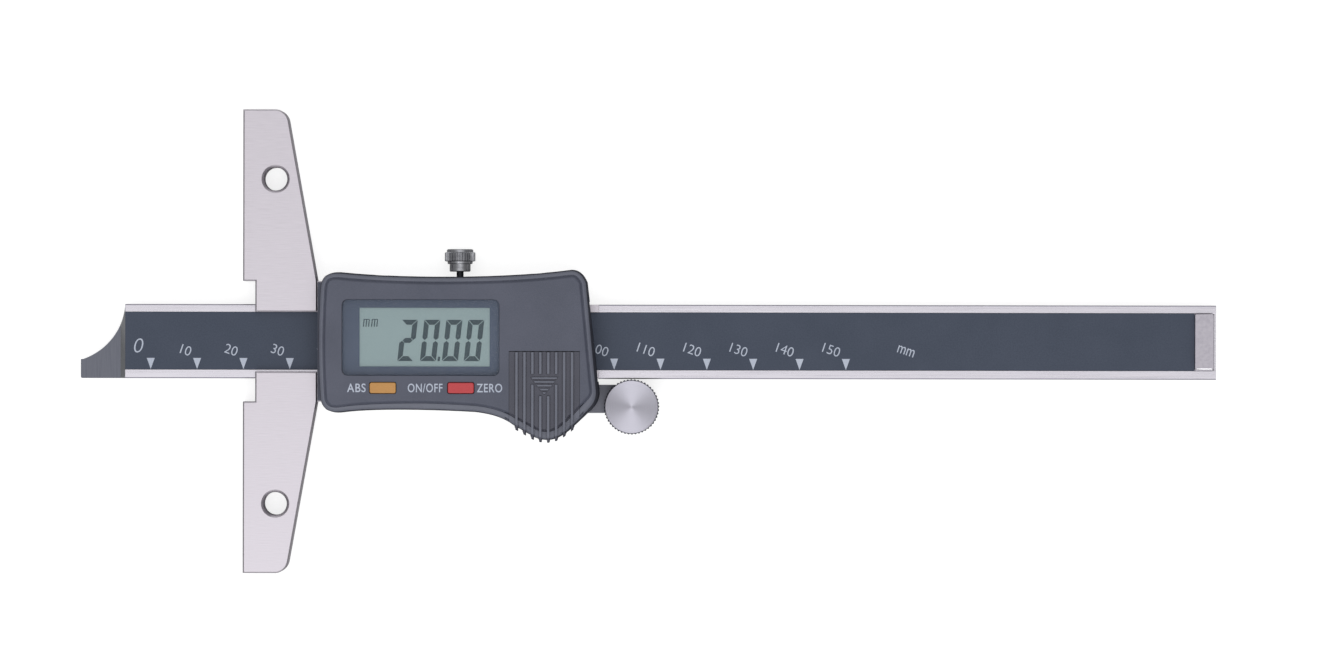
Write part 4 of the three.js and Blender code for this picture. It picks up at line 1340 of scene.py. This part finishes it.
# %% Triangles and numbers along the beam
strip_top = box_mm("scale_strip")[1].z
ink_z = (strip_top + 0.004, strip_top + 0.02)
print_z = strip_top + 0.012
scale_zero, number_turn = -19.98, -19
turn = math.radians(number_turn)
triangles, numbers = [], []
for mark in range(0, 151, 10):
    x = scale_zero + mark
    corners = [(x - 0.86, -3.63), (x, -6.02), (x + 0.86, -3.63)]
    triangles.append(thin_plate("scale_triangle", corners, *ink_z))
    if mark == 0:
        continue
    number = ink_text("scale_number", str(mark), 2.05, weight=-0.00006)
    reach = max(v.co.x for v in number.data.vertices) / MM - 0.65
    centre = (x - 1.95 - reach * math.cos(turn), -2.1 - reach * math.sin(turn))
    lay_text(number, *centre, print_z, number_turn)
    numbers.append(number)
hand_over(join_all(triangles, "scale_triangles"), "beam", "scale_film", pale_ink)
hand_over(join_all(numbers, "scale_numbers"), "beam", "scale_film", pale_ink)

# %% The zero and the unit
zero = ink_text("scale_zero", "0", 3.05, 1.9, -0.00015)
lay_text(zero, -22.58, -0.95, print_z, 0, 0.2)
hand_over(zero, "beam", "scale_film", pale_ink)
beam_unit = ink_text("scale_unit", "mm", 1.6, 3.7)
lay_text(beam_unit, 143.0, -1.95, print_z, number_turn)
hand_over(beam_unit, "beam", "scale_film", pale_ink)

# %% [markdown]
# Floor, lamps and sky
# The gauge lies on a white table in a light tent. A bright band of the tent runs over it from
# front to back, and its two ends are darker, which is what draws the bow tie on the roller and
# the pale stripe on the lock screw. One large lamp gives the soft shadows their direction. The
# floor is white to the camera, and still takes the shadow.

# %% Sums that light is counted with
def sum_of(tree, operation, *values):
    return add_node(tree, "Math", enumerate(values), operation=operation).outputs["Value"]


# %% The floor
floor_lift = 0.76
bpy.ops.mesh.primitive_plane_add(size=6, location=(0, 0, -0.0002))
floor = new_piece("floor")
floor_paint, tree, shader = finish("floor_paint", 0.9)
rays = add_node(tree, "LightPath").outputs
seen_by = sum_of(tree, "MAXIMUM", rays["Is Camera Ray"], rays["Is Transmission Ray"])
fill(shader, {
    "Base Color": (0.5, 0.5, 0.5, 1), "Specular IOR Level": 0.0,
    "Emission Color": (1, 1, 1, 1),
    "Emission Strength": sum_of(tree, "MULTIPLY", seen_by, floor_lift),
})
floor.data.materials.append(floor_paint)

# %% The tent
band_light, tent_light = 0.75, 0.3
world = bpy.data.worlds.new("tent")
bpy.context.scene.world = world
world.use_nodes = True
tree = world.node_tree
direction = add_node(tree, "TexCoord").outputs["Generated"]
x = add_node(tree, "SeparateXYZ", {"Vector": direction}).outputs["X"]
nearness = sum_of(tree, "SUBTRACT", 1.0, sum_of(tree, "MULTIPLY", x, x))
band = sum_of(tree, "POWER", nearness, 3.0)
fill(tree.nodes["Background"], {
    "Strength": sum_of(tree, "MULTIPLY_ADD", band, band_light, tent_light),
    "Color": (1, 1, 1, 1),
})

# %% The lamp
bpy.ops.object.light_add(type="AREA", location=(-0.06, -0.5, 1.0))
lamp = bpy.context.object
lamp.data.size = 0.9
lamp.data.energy = 3.0
lamp.rotation_euler = (Vector((0, 0, 0)) - lamp.location).to_track_quat("-Z", "Y").to_euler()
bpy.context.scene.view_settings.view_transform = "Standard"
print("lamp at", tuple(round(c, 2) for c in lamp.location))
